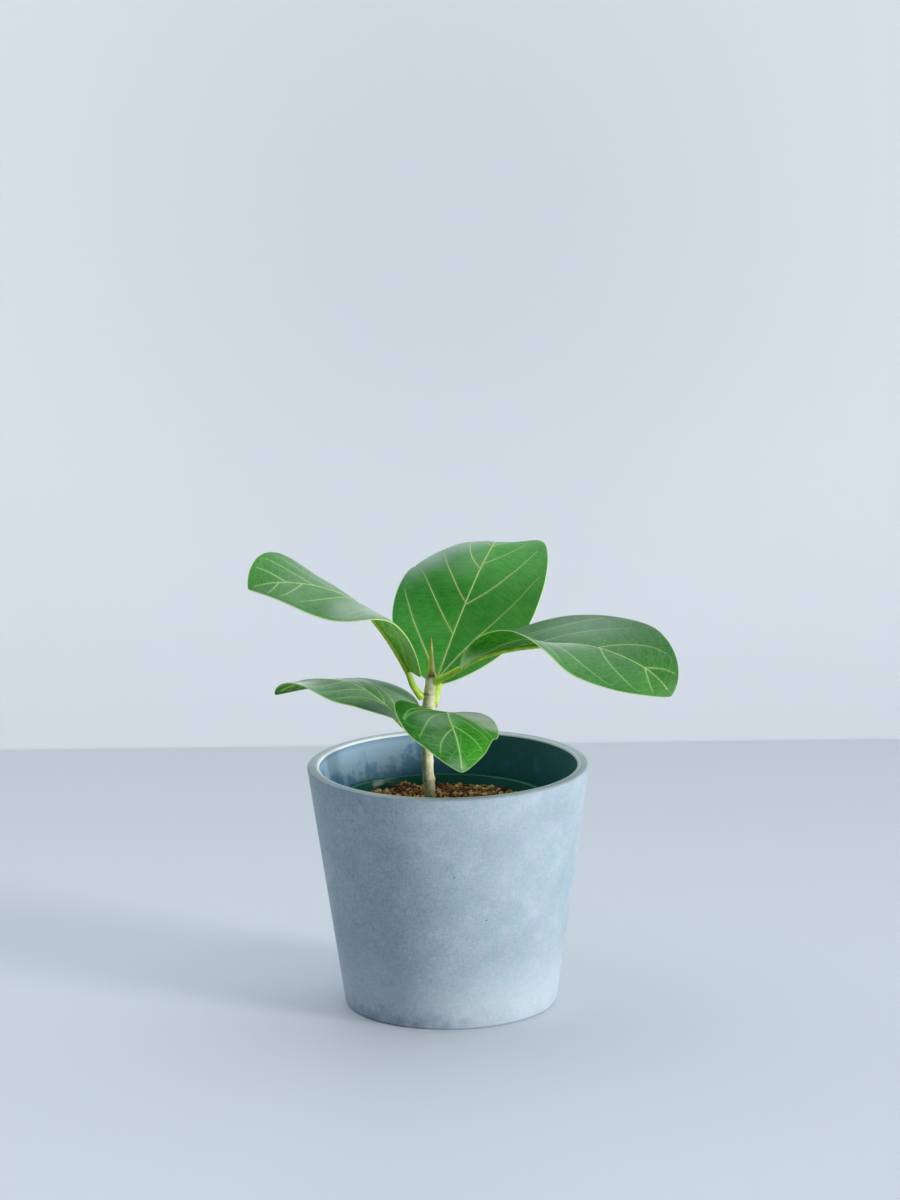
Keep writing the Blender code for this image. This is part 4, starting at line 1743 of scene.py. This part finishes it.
class Blade:
    """The bent surface of one leaf, worked out from its midrib."""

    def __init__(self, form: LeafForm) -> None:
        """Carry the blade's own directions along its midrib.

        Args:
            form: the leaf's form
        """
        self.form = form
        self.line = smooth(form.spine, np.linspace(0, 1, 241))
        steps = np.linalg.norm(np.diff(self.line, axis=0), axis=1)
        self.run = np.concatenate([[0.0], np.cumsum(steps)])
        self.length = self.run[-1]
        self.tangent, side, up = carried_frames(self.line, form.face)
        roll = np.radians(smooth(form.roll, self.run / self.length))[:, None]
        self.side = side * np.cos(roll) + up * np.sin(roll)
        self.up = up * np.cos(roll) - side * np.sin(roll)

    def along(self, rows: np.ndarray, distance: np.ndarray) -> np.ndarray:
        """Read one of the midrib's vector rows at distances from the base."""
        return np.stack([np.interp(distance, self.run, rows[:, k]) for k in range(3)], axis=-1)

    def half_width(self, t: np.ndarray) -> np.ndarray:
        """Give the blade its rounded base and blunt tip.

        Args:
            t: shares of the length from base to tip

        Returns:
            Half the flat width there, in mm.
        """
        a, b = self.form.taper
        peak = a ** a * b ** b / (a + b) ** (a + b)
        return 0.5 * self.form.width * t ** a * (1 - t) ** b / peak

    def swept(self, t: np.ndarray, v: np.ndarray) -> np.ndarray:
        """How far in mm the blade reaches back beside the stalk, which makes the basal lobes."""
        lobe = np.where(v > 0, self.form.lobe[1], self.form.lobe[0])
        return 4 * lobe * np.sqrt(t) * (1 - t) ** 5 * np.abs(v)

    def reach_along(self, t: np.ndarray, v: np.ndarray) -> np.ndarray:
        """Distance from the base in mm at shares of the length, with the lobes swept back."""
        return self.length * t - self.swept(t, v)

    def surface(self, t: np.ndarray, v: np.ndarray) -> np.ndarray:
        """Return points of the bent blade in mm.

        Args:
            t: shares of the length from base to tip
            v: places across, from -1 at the left edge to 1 at the right edge

        Returns:
            One point for each place.
        """
        form, length = self.form, self.length
        reach = self.half_width(t) * np.abs(v)
        distance = self.reach_along(t, v)
        held = np.clip(distance, 0, length)
        right = v > 0
        share = held / length
        start = np.radians(np.where(right, smooth(form.lift_right, share),
                                    smooth(form.lift_left, share)))
        bend = np.radians(np.where(right, smooth(form.curl_right, share),
                                   smooth(form.curl_left, share))) / (0.5 * form.width)
        bend = np.where(np.abs(bend) < 1e-6, 1e-6, bend)
        out = (np.sin(start + bend * reach) - np.sin(start)) / bend * np.sign(v)
        rise = -(np.cos(start + bend * reach) - np.cos(start)) / bend
        points = self.along(self.line, held) + (distance - held)[:, None] * self.tangent[0]
        points += unit(self.along(self.side, held)) * out[:, None]
        return points + unit(self.along(self.up, held)) * rise[:, None]

    def normals(self, t: np.ndarray, v: np.ndarray) -> np.ndarray:
        """Work out which way the bent blade faces.

        Args:
            t: shares of the length from base to tip
            v: places across, from -1 to 1

        Returns:
            The upward unit normal at each place.
        """
        t = np.clip(t, 0.004, 0.996)
        v = np.where(np.abs(v) < 0.02, 0.02 * np.where(v < 0, -1, 1), v)
        along = self.surface(t + 0.002, v) - self.surface(t - 0.002, v)
        across = self.surface(t, v + 0.01) - self.surface(t, v - 0.01)
        return unit(np.cross(across, along))

    def from_flat(self, x: np.ndarray, y: np.ndarray) -> tuple[np.ndarray, np.ndarray]:
        """Turn flat places in mm into shares along and across the blade.

        Args:
            x: distance from the base along the midrib
            y: distance from the midrib, negative to the left

        Returns:
            The shares t and v.
        """
        t = np.clip(x / self.length, 1e-4, 0.999)
        for _ in range(12):
            v = np.clip(y / np.maximum(self.half_width(t), 1e-3), -1, 1)
            t = np.clip(0.5 * t + 0.5 * (x + self.swept(t, v)) / self.length, 1e-4, 0.999)
        return t, v


@dataclass
class FigLeaf:
    """One whole leaf: blade, raised veins, midrib and stalk in a single piece."""

    form: LeafForm
    thickness: float = 0.5
    rows: int = 150
    columns: int = 60
    quilt: float = 0.22
    quilt_reach: float = 5.0
    petiole_radius: float = 1.85
    net_radius: float = 0.1
    rung_spacing: float = 9.0
    trace_step: float = 0.6
    crease: float = 60.0
    seed: int = 5

    def __post_init__(self) -> None:
        """Trace the veins over the flat blade."""
        self.blade = Blade(self.form)
        self.flat_veins = {half: self.trace_half(half) for half in Half}
        self.main = self.main_lines()

    def trace_half(self, half: Half) -> list[np.ndarray]:
        """Return one half's side veins as flat rows in mm."""
        veins = self.form.veins_left if half is Half.LEFT else self.form.veins_right
        return [self.trace(vein) * np.array([1, half.value]) for vein in veins]

    def trace(self, vein: Vein) -> np.ndarray:
        """Follow a side vein outwards over a flat right half.

        Args:
            vein: the vein to follow

        Returns:
            Rows of distance along and away from the midrib, in mm.
        """
        step, length = self.trace_step, self.blade.length
        x, y = vein.start * length, 0.0
        rows = [(x, y)]
        while x < 0.97 * length and len(rows) < 400:
            t, _ = self.blade.from_flat(np.array([x]), np.array([y]))
            room = vein.reach * float(self.blade.half_width(t)[0])
            share = min(y / max(room, 0.5), 1.0)
            if share >= 1.0 and len(rows) > 4:
                break
            heading = math.radians(vein.leave + (vein.arrive - vein.leave) * share)
            x, y = x + step * math.cos(heading), y + step * math.sin(heading)
            rows.append((x, y))
        return np.array(rows)

    def main_lines(self) -> list[Run]:
        """Lay out the midrib, the side veins, their loops and the fine cross veins.

        Returns:
            Flat rows and radii in mm, with the midrib first.
        """
        length = self.blade.length
        x = np.linspace(0.004, 0.97, 120) * length
        share = x / length
        lines = [(np.column_stack([x, np.zeros_like(x)]),
                  0.16 + (self.form.midrib - 0.16) * (1 - share) ** 1.1)]
        chance = np.random.default_rng(self.seed)
        for half, veins in self.flat_veins.items():
            forms = self.form.veins_left if half is Half.LEFT else self.form.veins_right
            for form, vein in zip(forms, veins):
                s = np.linspace(0, 1, len(vein))
                fade = self.form.vein * form.weight * (1 - 0.4 * s - 0.46 * s ** 3)
                lines.append((vein, fade * min(1.0, 0.45 + len(vein) / 60)))
            for near, far in zip(veins, veins[1:]):
                lines.append(self.loop(near, far))
                lines += self.rungs(near, far, chance)
        return lines

    def loop(self, near: np.ndarray, far: np.ndarray) -> Run:
        """Join a side vein's end to the next vein by a thin arch beside the edge.

        Args:
            near: the side vein nearer the base, as flat rows
            far: the next one towards the tip

        Returns:
            The arch as flat rows, with its radii in mm.
        """
        start, end = near[-1], far[int(0.8 * (len(far) - 1))]
        bow = np.array([0.5 * (start[0] + end[0]) + 2.0, 1.08 * max(start[1], end[1], key=abs)])
        s = np.linspace(0, 1, 16)[:, None]
        path = (1 - s) ** 2 * start + 2 * s * (1 - s) * bow + s ** 2 * end
        return path, np.full(len(path), self.net_radius)

    def rungs(self, near: np.ndarray, far: np.ndarray, chance: np.random.Generator) -> list[Run]:
        """Cross the space between two side veins with fine wavering veins.

        Args:
            near: the side vein nearer the base, as flat rows
            far: the next one towards the tip
            chance: the leaf's random numbers

        Returns:
            The cross veins as flat rows, with their radii in mm.
        """
        made = []
        count = max(2, int(self.trace_step * len(near) / self.rung_spacing))
        for share in np.linspace(0.2, 0.92, count):
            a = near[int(min(share + 0.1 * chance.random(), 0.95) * (len(near) - 1))]
            b = far[int(max(share - 0.25 - 0.1 * chance.random(), 0.05) * (len(far) - 1))]
            s = np.linspace(0, 1, 9)[:, None]
            path = a + (b - a) * s
            across = np.array([-(b - a)[1], (b - a)[0]])
            path = path + across * (0.06 * chance.normal() * np.sin(math.pi * s)
                                    + 0.02 * chance.normal() * np.sin(3 * math.pi * s))
            made.append((path, np.full(len(path), 0.7 * self.net_radius)))
        return made

    def distances(self, x: np.ndarray, y: np.ndarray, fine: bool) -> np.ndarray:
        """Return each flat place's distance in mm to the surface of the nearest vein.

        Args:
            x: places along the flat blade, in mm
            y: places across it, in mm
            fine: True for the fine cross veins, False for the main ones

        Returns:
            One distance for each place.
        """
        found = np.full(len(x), 99.0)
        for path, radii in self.main:
            if (radii.max() < 1.2 * self.net_radius) != fine:
                continue
            if fine:
                many = np.linspace(0, len(path) - 1, 4 * len(path))
                path = np.column_stack([np.interp(many, np.arange(len(path)), path[:, k])
                                        for k in range(2)])
                radii = np.full(len(path), radii[0])
            for point, radius in zip(path[::2], radii[::2]):
                away = np.hypot(x - point[0], y - point[1]) - radius
                np.minimum(found, away, out=found)
        return np.maximum(found, 0)

    def swollen(self, distance: np.ndarray, to_edge: np.ndarray) -> np.ndarray:
        """Return how far the tissue between the veins stands up, in mm."""
        return (self.quilt * (1 - np.exp(-(distance / self.quilt_reach) ** 2))
                * np.clip(to_edge / 3.0, 0, 1))

    def sheet(self) -> Piece:
        """Bend a grid into the blade and give it its thickness.

        Returns:
            The sheet, with its distances to veins and edge stored on it.
        """
        start_clean()
        bpy.ops.mesh.primitive_grid_add(x_subdivisions=2 * self.columns, y_subdivisions=self.rows,
                                        size=2)
        sheet = settle(bpy.context.object, self.form.name)
        mesh = sheet.data
        v, turn = points_of(mesh)[:, 0], points_of(mesh)[:, 1]
        t = (1 - np.cos(math.pi * (turn + 1) / 2)) / 2
        inner_t = np.clip(t, 1e-6, 1 - 1e-6)
        width = self.blade.half_width(np.clip(t, 0, 1))
        x, y = self.blade.reach_along(t, v), v * width
        to_vein, to_net = self.distances(x, y, False), self.distances(x, y, True)
        to_edge = (1 - np.abs(v)) * width
        points = self.blade.surface(np.clip(t, 0, 1), v)
        points += self.blade.normals(inner_t, v) * self.swollen(to_vein, to_edge)[:, None]
        set_flat(mesh, x, y)
        set_attribute(mesh, "to_vein", to_vein)
        set_attribute(mesh, "to_net", to_net)
        set_attribute(mesh, "to_edge", to_edge)
        move_points(mesh, points * MM)
        open_mesh()
        bpy.ops.mesh.remove_doubles(threshold=UNDRAWN)
        bpy.ops.object.mode_set(mode="OBJECT")
        for finish in (self.form.skin, self.form.back, VeinTissue()):
            mesh.materials.append(finish.material())
        apply_modifier(sheet, "SOLIDIFY", thickness=self.thickness * MM, offset=0.0,
                       use_even_offset=False, material_offset=1, material_offset_rim=2)
        return sheet

    def vein_runs(self, over: bool) -> list[Run]:
        """Lay the main veins on one face of the bent blade.

        Args:
            over: True for the upper face, False for the underside

        Returns:
            Paths in metres and radii in mm.
        """
        runs = []
        for path, radii in self.main if over else self.main[1:]:
            if radii.max() < 1.1 * self.net_radius:
                continue
            t, v = self.blade.from_flat(path[:, 0], path[:, 1])
            radii = radii * (1.0 if over else 1.6)
            sunk = 0.5 * self.thickness - (0.55 if over else 0.25) * radii
            out = sunk if over else -np.maximum(sunk, radii - 0.3 * self.thickness)
            points = self.blade.surface(t, v) + self.blade.normals(t, v) * out[:, None]
            runs.append((points * MM, radii))
        return runs

    def stalk_runs(self) -> tuple[Run, Run]:
        """Lead the stalk to the blade and go on under it as the midrib's back.

        Returns:
            The stalk's path in metres and radii in mm, then the midrib's.
        """
        blade = self.blade
        t = np.linspace(0.002, 0.95, 90)
        radii = 0.35 + (0.75 * self.petiole_radius - 0.35) * (1 - t) ** 0.8
        sink = 0.5 * self.thickness + 0.8 * radii
        held = t * blade.length
        under = blade.along(blade.line, held) - unit(blade.along(blade.up, held)) * sink[:, None]
        stalk = smooth(list(self.form.petiole) + [under[0]], np.linspace(0, 1, 40))
        s = np.linspace(0, 1, 40)
        width = self.petiole_radius + 0.45 * np.exp(-(s / 0.13) ** 2)
        width = width + (radii[0] - self.petiole_radius) * s ** 3
        return (stalk * MM, width), (under * MM, radii)

    def build(self) -> None:
        """Make the leaf's parts, join them and dress the leaf."""
        stalk, midrib = self.stalk_runs()
        parts = [self.sheet()]
        for name, runs, fineness, finish in (
                ("veins_over", self.vein_runs(True), 1, VeinTissue()),
                ("veins_under", self.vein_runs(False), 1, MidribBack()),
                ("stalk", [stalk], 8, PetioleSkin()),
                ("midrib_back", [midrib], 8, MidribBack())):
            parts.append(sweep(name, runs, fineness))
            parts[-1].data.materials.append(finish.material())
        leaf = join(parts, self.form.name)
        draw_in(leaf, self.form.node)
        smooth_by_angle(leaf, self.crease)
        dress(leaf, "leaf", self.form.node)


# ---------------------------------------------------------------- studio


@dataclass(frozen=True)
class SoftLamp:
    """One broad far lamp.

    bearing: degrees round from +X, negative towards the front
    elevation: degrees over the table
    spread: degrees across, as the part sees it
    strength: watts on a square metre that faces it
    """

    name: str
    bearing: float
    elevation: float
    spread: float
    strength: float
    colour: str

    def hang(self) -> None:
        """Hang the lamp and turn it to the part."""
        bearing, rise = math.radians(self.bearing), math.radians(self.elevation)
        towards = Vector((math.cos(bearing) * math.cos(rise), math.sin(bearing) * math.cos(rise),
                          math.sin(rise)))
        bpy.ops.object.light_add(type="SUN", location=towards * 2)
        lamp = bpy.context.object
        lamp.name = self.name
        lamp.rotation_mode = "QUATERNION"
        lamp.rotation_quaternion = towards.to_track_quat("Z", "Y")
        lamp.data.angle = math.radians(self.spread)
        lamp.data.energy = self.strength
        lamp.data.color = linear(self.colour)[:3]


@dataclass
class Studio:
    """Pale table and wall, a low key lamp at the right, an overhead lamp, and the camera.

    The table and wall are in metres, because they are set out beside the part and not on it.
    """

    wall_distance: float = 0.546
    wall_height: float = 0.75
    cove: float = 0.002
    crease: float = 60.0
    reach: float = 3.0
    camera_distance: float = 2640.2
    camera_elevation: float = 12.822
    camera_turn: float = 0.712
    camera_aim: tuple = (2.008, 0.0, 219.51)
    lens: float = 150.0
    sensor: float = 36.0
    lamps: tuple = (SoftLamp("low_key_lamp", bearing=-28, elevation=5, spread=17, strength=3.65,
                             colour="#fffaf4"),
                    SoftLamp("overhead_lamp", bearing=90, elevation=75, spread=90,
                             strength=1.92, colour="#eefaff"))
    room: str = "#e6f2fb"
    room_strength: float = 0.2
    backdrop_colour: str = "#d3deea"

    def backdrop(self) -> None:
        """Lay a table top and bend it up into a wall behind the part."""
        start_clean()
        bpy.ops.mesh.primitive_plane_add(size=2 * self.reach,
                                         location=(0, self.wall_distance - self.reach, 0))
        plane = settle(bpy.context.object, "table_and_wall")
        bpy.ops.object.mode_set(mode="EDIT")
        bpy.ops.mesh.select_all(action="DESELECT")
        bpy.ops.object.mode_set(mode="OBJECT")
        for edge in plane.data.edges:
            ends = [plane.data.vertices[i].co.y for i in edge.vertices]
            edge.select = min(ends) > self.wall_distance - 0.01
        bpy.ops.object.mode_set(mode="EDIT")
        bpy.ops.mesh.select_mode(type="EDGE")
        up = {"value": (0, 0, self.wall_height)}
        bpy.ops.mesh.extrude_region_move(TRANSFORM_OT_translate=up)
        bpy.ops.object.mode_set(mode="OBJECT")
        apply_modifier(plane, "BEVEL", width=self.cove, segments=8, limit_method="ANGLE")
        smooth_by_angle(plane, self.crease)
        plane.data.materials.append(PaintedPlaster().material())

    def room_light(self) -> None:
        """Fill the room with dim even light, and show a pale colour where nothing stands."""
        world = bpy.data.worlds.new("dim_room")
        bpy.context.scene.world = world
        world.use_nodes = True
        tree = world.node_tree
        out = next(n for n in tree.nodes if n.bl_idname == "ShaderNodeOutputWorld")
        lamps = {"Color": linear(self.room), "Strength": self.room_strength}
        light = add(tree, "Background", lamps)
        shown = add(tree, "Background", {"Color": linear(self.backdrop_colour), "Strength": 1.0})
        seen = add(tree, "LightPath", output="Is Camera Ray")
        mixed = add(tree, "MixShader", {0: seen, 1: light, 2: shown})
        tree.links.new(mixed, out.inputs["Surface"])

    def camera(self) -> None:
        """Place the camera in front, a little above the plant."""
        rise, turn = math.radians(self.camera_elevation), math.radians(self.camera_turn)
        ahead = Vector((0, math.cos(rise), -math.sin(rise)))
        over = Vector((0, math.sin(rise), math.cos(rise)))
        right = Vector((1, 0, 0)) * math.cos(turn) - over * math.sin(turn)
        up = right.cross(ahead)
        place = (Vector(self.camera_aim) - ahead * self.camera_distance) * MM
        bpy.ops.object.camera_add()
        camera = bpy.context.object
        camera.name = "front_camera"
        turned = Matrix((right, up, -ahead)).transposed().to_4x4()
        camera.matrix_world = Matrix.Translation(place) @ turned
        camera.data.lens = self.lens
        camera.data.sensor_width = self.sensor
        camera.data.clip_end = 20.0
        bpy.context.scene.camera = camera

    def build(self) -> None:
        """Set up the stage, the light and the camera."""
        self.backdrop()
        for lamp in self.lamps:
            lamp.hang()
        self.room_light()
        self.camera()
        bpy.context.scene.view_settings.view_transform = "Standard"


def main() -> None:
    """Build each sub-assembly in order."""
    logging.basicConfig(level=logging.INFO, format="%(message)s")
    growers_pot = GrowersPot()
    OuterPot().build()
    growers_pot.build()
    PottingMixBed(growers_pot).build()
    Stem().build()
    TerminalBud().build()
    for form in LEAVES:
        FigLeaf(form).build()
    Studio().build()


if __name__ == "__main__":
    main()
